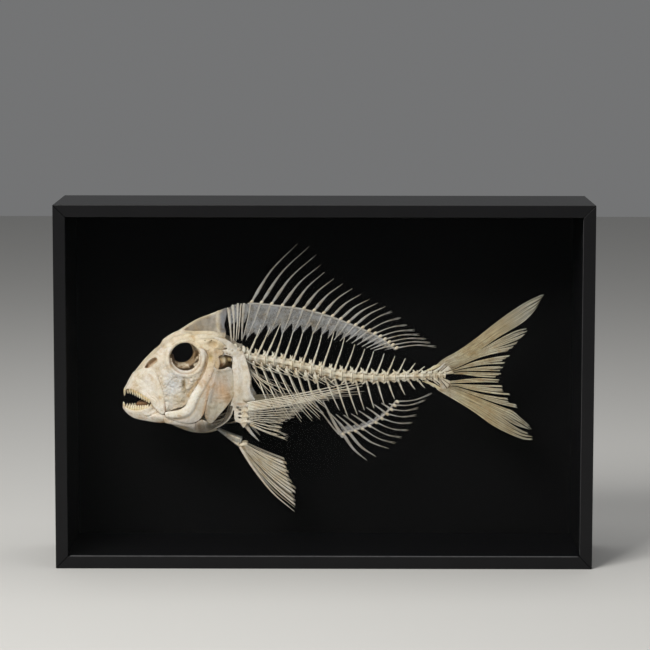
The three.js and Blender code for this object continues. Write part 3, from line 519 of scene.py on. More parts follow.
# --------------------------------------------------------------- object maker
def make(name, shape, node, materials, smooth_faces=True, index=None, keep=False):
    me = bpy.data.meshes.new(name)
    me.from_pydata((shape.verts() * MM).tolist(), [], shape.f)
    me.validate(clean_customdata=False)
    a = me.color_attributes.new("bone", "FLOAT_COLOR", "POINT")
    C = shape.colours()
    if len(C) == len(me.vertices):
        a.data.foreach_set("color", np.concatenate([C, np.ones((len(C), 1))], 1).ravel().astype(np.float32))
    for m in materials if isinstance(materials, (list, tuple)) else [materials]:
        me.materials.append(m)
    if index is not None:
        me.polygons.foreach_set("material_index", np.asarray(index, np.int32))
    if smooth_faces:
        me.polygons.foreach_set("use_smooth", np.ones(len(me.polygons), bool))
    me.update()
    ob = bpy.data.objects.new(name, me)
    bpy.context.scene.collection.objects.link(ob)
    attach(ob, "root")
    if node:
        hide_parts(*([node] if isinstance(node, str) else node))
    return ob


# ------------------------------------------------------- carving on a grid


def outline(points, closed=True, n=8):
    """A smooth line through points, as a list of places."""
    p = np.array(points, float)
    m = len(p)
    out = []
    for i in range(m if closed else m - 1):
        a = p[(i - 1) % m] if closed or i > 0 else 2 * p[0] - p[1]
        b, c = p[i], p[(i + 1) % m]
        d = p[(i + 2) % m] if closed or i + 2 < m else 2 * p[-1] - p[-2]
        for t in np.arange(n) / n:
            out.append(0.5 * (2 * b + (c - a) * t + (2 * a - 5 * b + 4 * c - d) * t * t + (3 * b - a - 3 * c + d) * t ** 3))
    if not closed:
        out.append(p[-1])
    return np.array(out)


class Carve:
    """A distance field on a grid, in millimetres: negative inside."""

    def __init__(self, lo, hi, h):
        self.lo, self.h = np.array(lo, float), h
        n = [int(math.ceil((b - a) / h)) + 1 for a, b in zip(lo, hi)]
        ax = [np.float32(a) + np.arange(k, dtype=np.float32) * np.float32(h) for a, k in zip(lo, n)]
        self.X, self.Y, self.Z = ax[0][:, None, None], ax[1][None, :, None], ax[2][None, None, :]
        self.d = np.full(n, 50.0, np.float32)

    def region(self, points, closed=True, n=8):
        """Signed distance in the plane of the fish to a closed outline."""
        L = outline(points, closed, n).astype(np.float32)
        X, Z = self.X, self.Z
        best = np.full((self.X.shape[0], 1, self.Z.shape[2]), 1e9, np.float32)
        inside = np.zeros(best.shape, bool)
        M = len(L)
        for i in range(M if closed else M - 1):
            (x0, z0), (x1, z1) = L[i], L[(i + 1) % M]
            dx, dz = x1 - x0, z1 - z0
            q = dx * dx + dz * dz
            if q < 1e-9:
                continue
            t = np.clip(((X - x0) * dx + (Z - z0) * dz) / q, 0, 1)
            best = np.minimum(best, (X - x0 - t * dx) ** 2 + (Z - z0 - t * dz) ** 2)
            if closed:
                cross = ((z0 > Z) != (z1 > Z)) & (X < (x1 - x0) * (Z - z0) / (z1 - z0 if abs(z1 - z0) > 1e-9 else 1e-9) + x0)
                inside ^= cross
        best = np.sqrt(best)
        return np.where(inside, -best, best) if closed else best

    def sheet(self, surface, thickness, d2, r=0.45):
        """A sheet at y = surface(x, z) of that thickness, inside the outline d2."""
        gx = np.gradient(surface, self.h, axis=0)
        gz = np.gradient(surface, self.h, axis=2)
        slope = np.sqrt(1 + np.minimum(gx * gx + gz * gz, 30))
        a = np.abs(self.Y - surface) / slope - (thickness / 2 - r)
        b = d2 + r
        return np.sqrt(np.maximum(a, 0) ** 2 + np.maximum(b, 0) ** 2) + np.minimum(np.maximum(a, b), 0) - r

    def tube(self, points, radii, n=6, flat=1.0):
        """A rod along a smooth curve; flat > 1 makes it thinner across the fish."""
        c = spline(points)(np.linspace(0, 1, n * (len(points) - 1) + 1)).astype(np.float32)
        r = along(radii)(np.linspace(0, 1, len(c))).astype(np.float32)
        best = np.full(self.d.shape, 1e9, np.float32)
        m = float(r.max()) + 3.0
        for i in range(len(c) - 1):
            a, b = c[i], c[i + 1]
            lo = np.floor((np.minimum(a, b) - m - self.lo) / self.h).astype(int)
            hi = np.ceil((np.maximum(a, b) + m - self.lo) / self.h).astype(int) + 1
            lo, hi = np.maximum(lo, 0), np.minimum(np.maximum(hi, 0), self.d.shape)
            if np.any(lo >= hi):
                continue
            s = tuple(slice(p, q) for p, q in zip(lo, hi))
            X, Y, Z = self.X[s[0]], self.Y[:, s[1]], self.Z[:, :, s[2]]
            e = b - a
            q = e[0] ** 2 + (flat * e[1]) ** 2 + e[2] ** 2 + 1e-9
            t = np.clip(((X - a[0]) * e[0] + flat * flat * (Y - a[1]) * e[1] + (Z - a[2]) * e[2]) / q, 0, 1)
            dist = np.sqrt((X - a[0] - t * e[0]) ** 2 + (flat * (Y - a[1] - t * e[1])) ** 2 + (Z - a[2] - t * e[2]) ** 2) - (r[i] + (r[i + 1] - r[i]) * t)
            best[s] = np.minimum(best[s], dist)
        return np.where(best > 1e8, 50, best)

    def ball(self, c, r):
        r = np.broadcast_to(np.array(r, float), (3,))
        k = np.sqrt(((self.X - c[0]) / r[0]) ** 2 + ((self.Y - c[1]) / r[1]) ** 2 + ((self.Z - c[2]) / r[2]) ** 2)
        return (k - 1) * float(min(r))

    def add(self, d, k=1.0):
        h = np.clip(0.5 + 0.5 * (self.d - d) / k, 0, 1)
        self.d = (self.d + (d - self.d) * h - k * h * (1 - h)).astype(np.float32)
        return self

    def cut(self, d, k=0.6):
        h = np.clip(0.5 - 0.5 * (self.d + d) / k, 0, 1)
        self.d = (self.d + (-d - self.d) * h + k * h * (1 - h)).astype(np.float32)
        return self

    def shape(self, paint, rough=0.12, rough_size=5.0, seed=1, mirror=False, keep=400):
        f = self.d.copy()
        for s in (np.s_[0], np.s_[-1], np.s_[:, 0], np.s_[:, -1], np.s_[:, :, 0], np.s_[:, :, -1]):
            f[s] = np.maximum(f[s], self.h)
        g = openvdb.FloatGrid(3.0)
        g.copyFromArray(np.clip(f, -3, 3))
        P, Q = g.convertToQuads(isovalue=0.0)
        P = P.astype(float) * self.h + self.lo
        Q = Q.astype(np.int64)
        a, b, c, d = (P[Q[:, i]] for i in range(4))
        vol = np.sum(a * np.cross(b, c)) + np.sum(a * np.cross(c, d))
        if vol < 0:
            Q = Q[:, ::-1]
        # leave out crumbs
        lab = np.arange(len(P))
        e = np.concatenate([Q[:, [0, 1]], Q[:, [1, 2]], Q[:, [2, 3]], Q[:, [3, 0]]])
        while True:
            m = np.minimum(lab[e[:, 0]], lab[e[:, 1]])
            new = lab.copy()
            np.minimum.at(new, e[:, 0], m)
            np.minimum.at(new, e[:, 1], m)
            new = new[new]
            if np.array_equal(new, lab):
                break
            lab = new
        ids, cnt = np.unique(lab, return_counts=True)
        ok = np.isin(lab, ids[cnt >= min(keep, cnt.max())])
        Q = Q[ok[Q[:, 0]]]
        used = np.zeros(len(P), bool)
        used[Q.ravel()] = True
        idx = np.cumsum(used) - 1
        P, Q = P[used], idx[Q]
        # even out the grid steps, then normals
        for _ in range(2):
            s = np.zeros_like(P)
            w = np.zeros(len(P))
            for i in range(4):
                j = Q[:, (i + 1) % 4]
                np.add.at(s, Q[:, i], P[j])
                np.add.at(w, Q[:, i], 1)
                np.add.at(s, j, P[Q[:, i]])
                np.add.at(w, j, 1)
            P = P * 0.5 + 0.5 * s / w[:, None]
        N = np.zeros_like(P)
        fn = np.cross(P[Q[:, 2]] - P[Q[:, 0]], P[Q[:, 3]] - P[Q[:, 1]])
        for i in range(4):
            np.add.at(N, Q[:, i], fn)
        N /= np.linalg.norm(N, axis=1, keepdims=True) + 1e-12
        C = paint(P, N)
        P = P + N * (rough * fbm(P, rough_size, seed))[:, None]
        return Shape().add(P, Q.tolist(), C)


def toned(P, base, seed=0, amount=0.10, stain=0.35, stain_size=11.0):
    """Old bone: the base colour, uneven, with tan stains."""
    c = np.broadcast_to(np.asarray(base, float), P.shape).copy()
    c *= (1 + amount * fbm(P, 7.0, seed))[:, None]
    s = np.clip(fbm(P, stain_size, seed + 91) * 1.8 - 0.35, 0, 1) * stain
    return c + (TAN - c) * s[:, None]


def tint(c, colour, w):
    w = np.clip(np.asarray(w), 0, 1)[..., None]
    return c + (np.asarray(colour) - c) * w


# ----------------------------------------------------------------------- head
PROFILE = [[-189.5, 156], [-181, 175.3], [-166.4, 193.6], [-159.6, 200.0], [-144.7, 211.4], [-121, 226.9], [-94, 237.4], [-76, 244.3]]
profile = keys(PROFILE)
skull_top = keys([[-176, 179], [-166, 191], [-156, 200.5], [-146, 209.5], [-131, 212.5], [-102, 213.5], [-91, 206], [-85, 199]])
skull_bottom = keys([[-176, 171], [-150, 173], [-131, 175], [-116, 177], [-102, 181], [-90, 187], [-85, 189.5]])
skull_half = keys([[-176, 4.5], [-166, 8], [-156, 12], [-146, 15.8], [-131, 15.2], [-116, 18.2], [-102, 19.8], [-92, 14], [-85, 5.5]])
OX, OZ = -130.6, 193.1                # orbit
col_x = keys([[1, -86], [3, -70.4], [7, -37.9], [11, -1.4], [15, 37.9], [19, 77.6], [21, 94.5], [25, 116]])
col_z = keys([[-90, 196], [-73, 191.6], [-33, 184.8], [-7, 179.2], [20, 173.6], [38, 172.5], [58, 172], [77, 173], [116, 174.6]])
col_r = keys([[-88, 5.8], [-33, 5.3], [20, 5.5], [38, 5.0], [77, 3.6], [100, 3.0], [116, 2.2]])

half_width = keys([[-191, 0.6], [-188.5, 3.4], [-184, 6.6], [-177, 9.9], [-165, 13.4], [-152, 15.8], [-138, 17.6], [-120, 19.6], [-104, 20.9], [-92, 20.6], [-80, 18.9], [-66, 17.5]])


def side(X, Z):
    """Half-width of the head's outer surface at (x, z)."""
    w = half_width(X) + 0 * Z
    top = np.minimum(profile(X), skull_top(X) + 2.5) + 0.8
    k = np.clip((top - Z) / (9 + 0.35 * np.clip(X + 190, 0, 30)), 0, 1)
    w = w * np.sqrt(np.clip(1 - (1 - k) ** 2, 0, 1))
    low = np.clip((141 - Z) / 26, 0, 1.2)
    return w - 11.0 * low ** 2 * smooth(X, -186, -150)


HB = 0.5                              # grid step of the head bones


def slab_box(pts, depth, pad=2.5):
    p = np.array(pts, float)
    return [p[:, 0].min() - pad, depth[0], p[:, 1].min() - pad], [p[:, 0].max() + pad, depth[1], p[:, 1].max() + pad]


def surf(c, extra=0.0, relief=None):
    S = side(c.X, c.Z) + extra
    if relief is not None:
        S = S + relief(c.X, c.Z)
    return -S.astype(np.float32)


def stripes(x, z, cx, cz, n, sharp=1.0):
    """Radial streaks about a centre of growth."""
    a = np.arctan2(z - cz, x - cx)
    P = np.stack([np.cos(a) * n, np.sin(a) * n, 0 * a + 3.1], -1)
    return noise(P, 1.0, 5) * sharp


# -------- upper jaw
UPPER = [(-190.0, 157.2), (-188.4, 161.5), (-184.6, 168.2), (-181.2, 175.2), (-176.5, 179.6), (-169, 182.4), (-160.5, 180.5), (-154.8, 170),
         (-151.2, 158), (-149.6, 147.5), (-149.4, 141.6), (-152.2, 138.6), (-156.6, 141.2), (-161.0, 146.2), (-163.8, 150.4), (-167.0, 154.0), (-171, 156.6), (-176, 159.2), (-180, 161.0), (-184.4, 161.6), (-187.2, 160.8), (-188.8, 157.4)]
lo, hi = slab_box(UPPER, (-18.5, -0.3))
c = Carve(lo, hi, HB)
R = c.region(UPPER)


def upper_relief(x, z):
    d, t = poly_dist(x, z, smooth_line([(-188, 161.5), (-180, 162), (-172, 158), (-165, 153.6), (-160.5, 150.5)]))
    r = 0.7 * bump(d, 2.2)                                     # swollen tooth-bearing edge
    d, t = poly_dist(x, z, smooth_line([(-182, 174), (-172, 171), (-163, 163), (-157, 152)]))
    r = r - 0.35 * bump(d, 1.6)                                # seam of premaxilla and maxilla
    d, t = poly_dist(x, z, smooth_line([(-160, 172), (-155.5, 160), (-153, 146)]))
    r = r + 1.0 * bump(d, 3.2)                                 # body of the maxilla
    q = np.hypot(x + 163.5, (z - 148.5))
    r = r + 0.28 * np.cos(q * 2.6) * np.exp(-((q - 6.5) / 3.0) ** 2) * (x > -163)
    return r


c.add(c.sheet(surf(c, -0.2, upper_relief), 2.2, R), 0.5)
c.add(c.tube([(-188.0, -1.6, 161.6), (-184.4, -4.6, 165.0), (-179, -7.4, 164.8), (-171, -10.4, 161.0), (-164.4, -12.4, 155.6)], [1.2, 1.2, 1.3, 1.1, 0.9]), 0.6)
c.add(c.tube([(-188.2, -1.5, 160), (-184.4, -1.7, 168.5), (-180.4, -1.9, 175.6)], [1.2, 1.3, 1.1]), 1.5)


def paint_upper(P, N):
    x, y, z = P[:, 0], P[:, 1], P[:, 2]
    C = toned(P, IVORY, 3, 0.06, 0.22)
    C = tint(C, BROWN * 1.1, smooth(-y - (side(x, z) - 2.0), 0.3, -1.2) * 0.92)     # inner face
    C = tint(C, TAN * 1.1, 0.45 * blob(x, z, -176, 161, 3.2, 1.5))
    C = tint(C, TAN, 0.35 * blob(x, z, -165.5, 151, 6, 1.6))
    C = tint(C, BROWN * 1.5, 0.8 * blob(x, z, -149.4, 145, 1.3, 5.5))
    return C


c.add(c.sheet(-(side(c.X, c.Z) - 5.2).astype(np.float32), 1.2, c.region([(-178.0, 147.2), (-174, 149.4), (-169, 150.2), (-164, 150.6), (-160, 149.0), (-163, 145.4), (-170, 143.0), (-176, 143.4)])), 0.4)
c.cut(c.tube([(-166.9, -8.6, 183.0), (-163.4, -9.6, 186.8), (-159.6, -10.9, 189.9)], [1.4, 2.5, 1.9], flat=0.4), 0.8)
UPPER_SHAPE = c.shape(paint_upper, 0.20, 4.0, 3)


def tooth(x, y, z, dx, dy, dz, r, blunt=0.5, seed=0):
    L = math.sqrt(dx * dx + dy * dy + dz * dz)
    u = np.array([dx, dy, dz]) / L
    p0 = np.array([x, y, z]) - u * 0.9
    p1 = np.array([x, y, z]) + np.array([dx, dy, dz])
    n, s = 9, 10
    t = np.linspace(0, 1, n)
    side_ = np.cross(u, (0, 1, 0))
    side_ /= np.linalg.norm(side_)
    other = np.cross(u, side_)
    prof = r * ((1 - t ** (1.6 + 2.4 * blunt)) ** 0.6) * (1 + 0.12 * np.sin(np.pi * np.clip(t * 1.4, 0, 1)))
    prof[-1] = 0.04
    a = np.arange(s) / s * 2 * np.pi
    V = p0 + (p1 - p0) * t[:, None, None] + side_ * prof[:, None, None] * np.cos(a)[None, :, None] + other * prof[:, None, None] * np.sin(a)[None, :, None]
    F = grid_faces(n, s, True).tolist()
    F.append(tuple(range(s - 1, -1, -1)))
    F.append(tuple(range((n - 1) * s, n * s)))
    P = V.reshape(-1, 3)
    tt = np.repeat(t, s)
    base = np.array([0.80, 0.66, 0.36])
    C = base + (np.array([0.93, 0.87, 0.70]) - base) * (tt[:, None] ** 0.7)
    if np.dot(np.cross(V[0, 1] - V[0, 0], V[1, 0] - V[0, 0]), V[0, 0] - p0) < 0:
        F = [tuple(reversed(f)) for f in F]
    return Shape().add(P, F, C)


tooth_line = keys([[-189, 158.6], [-187.5, 160.2], [-184.4, 160.9], [-180, 159.8], [-176, 157.8], [-171, 155.2], [-164, 150.6]])
gum_line = keys([[-190, 145.3], [-188.5, 143.6], [-186.3, 142.5], [-181, 141.7], [-174, 142.0], [-168.4, 143.4], [-164.2, 145.8]])


def upper_teeth():
    s = Shape()
    lens = [5.0, 4.4, 4.3, 4.2, 4.2, 4.1, 4.0, 3.9, 3.6, 3.2, 2.6]
    for k, u in enumerate([0.012, 0.12, 0.22, 0.32, 0.41, 0.50, 0.59, 0.68, 0.77, 0.86, 0.95]):
        x = mix(-188.9, -164.0, u)
        z = float(tooth_line(x))
        y = -(float(side(np.array(x), np.array(z + 3))) + 0.5) if k else -1.9
        s.join(tooth(x, y, z + 1.2, -0.5 if k == 0 else 0.3, 0.1, -lens[k] - 1.1, 1.2 if k < 2 else 1.08 + 0.02 * k, 0.15 if k < 3 else min(0.2 + 0.06 * k, 0.8)))
    # inner row of low crushing teeth
    for k in range(7):
        x = mix(-181, -166, k / 6)
        z = float(tooth_line(x))
        s.join(tooth(x, -(float(side(np.array(x), np.array(z + 3))) - 3.4), z + 0.2, 0.1, 0.1, -1.5, 1.25, 0.9))
    return s


# -------- lower jaw
LOWER = [(-190.5, 143.6), (-189.9, 145.2), (-187.6, 143.6), (-184.4, 142.3), (-179, 141.7), (-173, 142.2), (-168.4, 143.6), (-164.6, 146.2), (-163.2, 148.8), (-160.6, 147.2), (-156.8, 142.4), (-152.6, 139.6), (-148.6, 137.4),
         (-147.8, 133.2), (-151.0, 130.4), (-158, 130.3), (-167, 131.6), (-175, 132.9), (-181, 134.7), (-186, 137.8), (-189.2, 141.2)]
lo, hi = slab_box(LOWER, (-18.5, -0.3))
c = Carve(lo, hi, HB)
R = c.region(LOWER)


def lower_relief(x, z):
    d, t = poly_dist(x, z, smooth_line([(-189, 143), (-180, 140.6), (-171, 141.6), (-164, 145)]))
    r = 0.6 * bump(d, 1.8)
    d, t = poly_dist(x, z, smooth_line([(-166, 136.4), (-158, 140.2), (-152.6, 143.4)]))
    r = r - 0.9 * bump(d, 0.8)                                 # joint of dentary and articular
    d, t = poly_dist(x, z, smooth_line([(-187, 140), (-176, 137.5), (-162, 137), (-153, 134)]))
    r = r + 0.5 * bump(d, 2.6)
    return r


S_low = -(half_width(c.X) * (1 - 0.30 * smooth(c.Z, 141, 128)) - 0.2 - 2.4 * smooth(c.X, -166, -159) * smooth(c.Z, 136, 142) + lower_relief(c.X, c.Z)).astype(np.float32)
c.add(c.sheet(S_low, 2.3, R), 0.5)
c.add(c.tube([(-189.2, -1.7, 143.6), (-186, -4.8, 141.6), (-180, -8.0, 140.4), (-173, -10.8, 141.0), (-165, -13.0, 144.6)], [1.4, 1.5, 1.6, 1.5, 1.1]), 1.2)
c.add(c.tube([(-189.0, -1.4, 142.6), (-186, -2.2, 139), (-180, -5.4, 135.8)], [1.2, 1.3, 1.0]), 1.4)
for k in range(4):                                             # pores of the jaw canal
    c.cut(c.ball((-182 + 7.2 * k, float(-half_width(-182 + 7.2 * k)) - 0.2, 138.2 - 0.9 * k), (0.55, 1.0, 0.5)), 0.4)


def paint_lower(P, N):
    x, y, z = P[:, 0], P[:, 1], P[:, 2]
    C = toned(P, IVORY, 8, 0.06, 0.2)
    # painted shade: the lower edge is darkened by up to a fifth, for the underside turned away from the light above
    C = C * (1 - 0.20 * smooth(z, 135, 131))[:, None]
    C = tint(C, BROWN * 1.6, smooth(-y - (half_width(x) - 2.2), 0.2, -1.2) * 0.8)
    C = tint(C, YELLOW, 0.45 * smooth(z - gum_line(x), -2.5, 0.5) * (x < -162))
    C = tint(C, TAN, 0.30 * smooth(x, -158, -150) * smooth(z, 136, 131))
    C = tint(C, BROWN * 1.4, 0.7 * blob(x, z, -149.8, 140.5, 1.6, 5.0))
    return C


LOWER_SHAPE = c.shape(paint_lower, 0.18, 4.0, 6)


def lower_teeth():
    s = Shape()
    lens = [4.2, 4.2, 4.5, 4.8, 5.0, 5.1, 5.1, 5.0, 4.7, 4.2, 3.4]
    for k, u in enumerate([0.01, 0.11, 0.205, 0.30, 0.39, 0.48, 0.57, 0.66, 0.75, 0.84, 0.93]):
        x = mix(-189.7, -164.8, u)
        z = float(gum_line(x)) - 0.2
        y = -(float(half_width(x)) - 0.9) if k else -1.6
        s.join(tooth(x, y, z, -0.8 if k == 0 else 0.1, 0.1, lens[k], 1.15 if k < 2 else 1.27 + 0.02 * k, 0.15 if k < 3 else min(0.3 + 0.1 * k, 1.0)))
    for k in range(7):
        x = mix(-182, -166, k / 6)
        s.join(tooth(x, -(float(half_width(x)) - 3.7), float(gum_line(x)) + 0.2, 0, 0.1, 3.0, 1.45, 0.9))
    return s


for tag, flip in (("left", False), ("right", True)):
    up, lw, ut, lt = Shape().join(UPPER_SHAPE, flip), Shape().join(LOWER_SHAPE, flip), Shape().join(upper_teeth(), flip), Shape().join(lower_teeth(), flip)
    make("upper_jaw_bone_" + tag, up, "upper_jaw_" + tag, M_HEAD)
    make("upper_teeth_" + tag, ut, None, M_TOOTH)
    make("lower_jaw_bone_" + tag, lw, "lower_jaw_" + tag, M_HEAD)
    make("lower_teeth_" + tag, lt, None, M_TOOTH)

# -------- skull
c = Carve((-180, -25, 168), (-80, 25, 232), 0.6)
X, Y, Z = c.X, c.Y, c.Z
top, low, w = skull_top(X), skull_bottom(X), skull_half(X)
mid = mix(low, top, 0.62)
dz = np.where(Z > mid, (Z - mid) / (top - mid), (mid - Z) / (mid - low))
nar = np.where(Z < mid, 1 - 0.62 * np.clip((mid - Z) / (mid - low), 0, 1) ** 1.0, 1)
core = ((np.abs(Y) / (w * nar + 1e-3)) ** 2.6 + dz ** 2.6) ** (1 / 2.6) - 1
core = core * np.minimum(w, (top - low) * 0.5)
core = np.maximum(core, np.maximum(-177.0 - X, X + 85.0))
c.d = core.astype(np.float32)
# bony roof of the snout, up to the profile
ET = [(-181.6, 174.6), (-176, 181.9), (-170, 189.6), (-164, 196.2), (-159.6, 200.6), (-153, 205.4), (-146, 210.6), (-138, 214.6), (-126, 214), (-134, 205), (-148, 196), (-160, 185), (-172, 176)]
R = c.region(ET)
roof = np.abs(Y) - np.clip((profile(X) - 0.1 - Z) * 1.25, 0, 9 + 0 * Z)
c.add(np.maximum(R, roof * 0.6), 2.0)
# crest: root and rim
c.add(c.tube([(-150, 0, 206.5), (-140, 0, 211.5), (-124, 0, 213.8), (-106, 0, 213.6), (-97, 0, 208)], [2.0, 2.8, 2.4, 2.2, 2.0]), 5.0)
c.add(c.tube([(-146, 0, 208.6), (-133.5, 0, 217.8), (-121, 0, 225.9)], [1.4, 1.2, 0.9]), 1.6)
# ridges on the roof and along the temple
for s in (-1, 1):
    c.add(c.tube([(-141, s * 8.5, 210.4), (-127, s * 9.0, 212.2), (-112, s * 8.2, 212.8), (-99, s * 6.2, 212.4), (-92, s * 5.0, 207)], [1.4, 1.5, 1.5, 1.5, 1.2]), 3.6)
    c.add(c.tube([(-118, s * 15.5, 208), (-108, s * 17.2, 208.8), (-98, s * 16.4, 207.0), (-91, s * 13, 203)], [1.5, 1.7, 1.6, 1.1]), 3.4)
    c.add(c.ball((-103, s * 12.5, 190), (13, 7.5, 10)), 3.0)                   # ear capsule
    c.add(c.ball((-94.8, s * 9.0, 186.0), (4.6, 4.2, 4.0)), 1.5)               # knob behind it
    c.add(c.tube([(-100, s * 8, 182), (-92, s * 6, 184.5), (-86, s * 4, 190)], [2.4, 2.6, 3.0]), 2.0)
# orbits
for s in (-1, 1):
    yy = np.clip(s * Y, 0, 60)
    k = np.clip(yy / 14.0, 0, 1) ** 0.85
    cx, cz = mix(-134.8, OX, k), mix(197.0, OZ, k)
    rx, rz = mix(10.0, 15.0, k), mix(10.2, 14.7, k)
    hole = (np.sqrt(((X - cx) / rx) ** 2 + ((Z - cz) / rz) ** 2) - 1) * 10.5
    hole = np.where(s * Y < -0.6, 9.0, hole)
    c.cut(hole, 0.8)
# brow: rounded rim above the eye, on both sides
for s in (-1, 1):
    arc = [(OX + 15.6 * math.cos(a), s * (15.6 - 1.6 * math.cos(a) ** 2 * (math.cos(a) < 0)), OZ + 15.3 * math.sin(a)) for a in np.radians([8, 35, 62, 90, 118, 146, 168])]
    c.add(c.tube(arc, [1.5, 1.7, 1.6, 1.5, 1.5, 1.6, 1.2], 5), 1.8)
    c.add(c.tube([(-147.5, s * 15.0, 187), (-150, s * 13.6, 180), (-151.5, s * 12.6, 172)], [2.2, 2.6, 2.4]), 3.0)
    # nostril pit and the smaller one behind it
    c.cut(c.tube([(-166.9, s * 8.6, 183.0), (-163.4, s * 9.6, 186.8), (-159.6, s * 10.9, 189.9)], [1.2, 2.3, 1.7], flat=0.75), 1.2)
    c.cut(c.ball((-155.2, s * 12.6, 192.2), (2.6, 1.8, 1.8)), 1.0)
    # pits of the temple
    c.cut(c.ball((-104.6, s * 19.2, 206.0), (4.2, 2.2, 3.2)), 1.4)
    c.cut(c.ball((-108.0, s * 20.0, 193.6), (2.8, 2.6, 3.6)), 1.4)
    c.cut(c.ball((-93.5, s * 15.8, 197.4), (3.4, 2.6, 2.4)), 1.2)
    for k in range(5):
        c.cut(c.ball((-124 + 6.1 * k, s * (16.4 + 0.3 * k), 209.4 + 0.4 * math.sin(k * 2.0)), (0.7, 1.6, 0.6)), 0.4)
for s in (-1, 1):
    c.add(c.tube([(-121.6, s * 9.0, 197.0), (-123.4, s * 8.4, 190.0), (-121.4, s * 9.4, 183.6)], [1.2, 0.9, 1.4], flat=1.2), 1.2)
    c.add(c.tube([(-119.0, s * 11.5, 192.0), (-121.8, s * 9.8, 188.6), (-126.5, s * 8.4, 184.6)], [1.8, 1.0, 1.4], flat=1.2), 1.2)
# bar of the palate that shows low in the orbit
c.add(c.tube([(-152, 0, 176.5), (-132, 0, 177.2), (-108, 0, 179.8)], [2.4, 1.6, 3.0]), 1.5)


def paint_skull(P, N):
    x, y, z = P[:, 0], np.abs(P[:, 1]), P[:, 2]
    C = toned(P, CREAM * 1.04, 21, 0.07, 0.30)
    inner = smooth(side(x, z) - y, 4.0, 9.0) * smooth(np.hypot(x - OX, z - OZ), 17.5, 14.5)
    spots = smooth(fbm(P, 5.0, 77), 0.0, 0.35)
    C = tint(C, np.array([0.25, 0.16, 0.09]), inner * (1 - 0.75 * spots))
    C = tint(C, TAN * 0.9, 0.75 * blob(x, z, -104.5, 206.3, 5.5, 4.2) * (y > 14))
    C = tint(C, np.array([0.58, 0.43, 0.19]), 0.80 * blob(x, z, -108.2, 193.8, 3.8, 5.0) * (y > 14))
    C = tint(C, np.array([0.20, 0.12, 0.045]), 0.95 * smooth(np.hypot((x + 92) / 9.5, (z - 188) / 9.5), 1.2, 0.7) * (y < 17))
    C = tint(C, np.array([0.62, 0.46, 0.22]), 0.85 * blob(x, z, -97.0, 191.6, 2.6, 3.2, 0.3))
    C = tint(C, np.array([0.24, 0.075, 0.04]), 0.95 * blob(x, z, -97.0, 185.8, 3.0, 2.8, 0.3))
    d, t = poly_dist(x, z, [(-167, 182.8), (-163.3, 186.7), (-158.4, 190.6)])
    C = tint(C, np.array([0.74, 0.55, 0.38]), 0.95 * bump(d, 2.1) * smooth(side(x, z) - y, -0.6, 1.6))
    C = tint(C, np.array([0.66, 0.50, 0.27]), 0.80 * blob(x, z, -155.5, 191.8, 4.0, 2.4))
    C = tint(C, YELLOW, 0.18 * smooth(x, -160, -120) * smooth(z, 222, 210))
    C = tint(C, np.array([0.74, 0.60, 0.50]), 0.30 * blob(x, z, -141, 212.5, 8, 4.5, 0.7))
    return C


make("skull_bone", c.shape(paint_skull, 0.30, 5.0, 11), "skull", M_HEAD)

# the thin crest above the braincase, and the window behind its strut
CREST = [(-150, 206.6), (-146, 210.3), (-138, 215.9), (-121, 226.7), (-108, 232.0), (-100.8, 234.8), (-92.6, 238.0), (-91.9, 234.2), (-92.8, 227.5), (-94.4, 221.6), (-92.8, 215.4), (-94.2, 208.6), (-100, 207), (-126, 209)]
lo, hi = slab_box(CREST, (-3.2, 3.2))
c = Carve(lo, hi, 0.45)
R = c.region(CREST, n=5)
c.add(c.sheet(0 * R, 1.25, R, 0.4), 0.4)
STRUT = [(-100.4, 0, 235.0), (-101.2, 0, 226), (-100.0, 0, 217), (-96.5, 0, 208.5)]
c.add(c.tube(STRUT, [0.8, 0.8, 1.2, 1.9], flat=1.2), 1.0)
c.add(c.tube([(-146, 0, 209.6), (-138, 0, 215.5), (-121, 0, 226.2), (-108, 0, 231.4), (-93, 0, 237.2)], [1.1, 1.0, 0.85, 0.8, 0.7]), 0.8)
rim = Carve(lo, hi, 0.45)


def paint_crest(P, N):
    x, y, z = P[:, 0], P[:, 1], P[:, 2]
    C = toned(P, np.array([0.40, 0.37, 0.32]), 31, 0.16, 0.15)
    C = C * (1 + 0.16 * stripes(x, z, -112, 200, 9))[:, None]
    d, t = poly_dist(x, z, [(p[0], p[2]) for p in STRUT])
    C = tint(C, np.array([0.25, 0.265, 0.30]), 0.9 * smooth(x, -100, -96) * smooth(z, 206, 212))
    C = tint(C, CREAM * 0.95, 0.85 * bump(d, 1.7))
    d = np.abs(z - profile(x) + 0.6)
    C = tint(C, CREAM, 0.85 * bump(d, 1.6) * smooth(x, -94, -100))
    C = tint(C, CREAM, 0.8 * smooth(z - 212.5 - 0.02 * (x + 120), 3.0, 0.0))
    return C


make("skull_crest", c.shape(paint_crest, 0.08, 5.0, 12), None, M_CREST)


# -------- plates of the cheek, round the orbit
reach = keys([[140, 13.5], [150, 19.5], [175, 31], [190, 41], [203, 49], [214, 54], [225, 54], [236, 53], [245, 53.5], [252, 54], [258, 51], [266, 48], [272, 43.5], [280, 37], [296, 29.5], [319, 25], [347, 22.5], [370, 21], [388, 18.5], [402, 13.5]])
c = Carve((-178, -22.0, 138), (-106, -9.0, 208), HB)
ang = np.degrees(np.arctan2(c.Z - OZ, c.X - OX))
ang = np.where(ang < 90, ang + 360, ang)
rad = np.hypot(c.X - OX, c.Z - OZ)
wob = 0.35 * np.sin(ang * 0.35) + 0.25 * np.sin(ang * 0.83 + 1)
out = reach(ang) + 0.9 * np.sin(ang * 0.21) * (rad > 24)
R = np.maximum((rad - out) * 0.85, 15.0 + 0.3 * wob - rad).astype(np.float32)


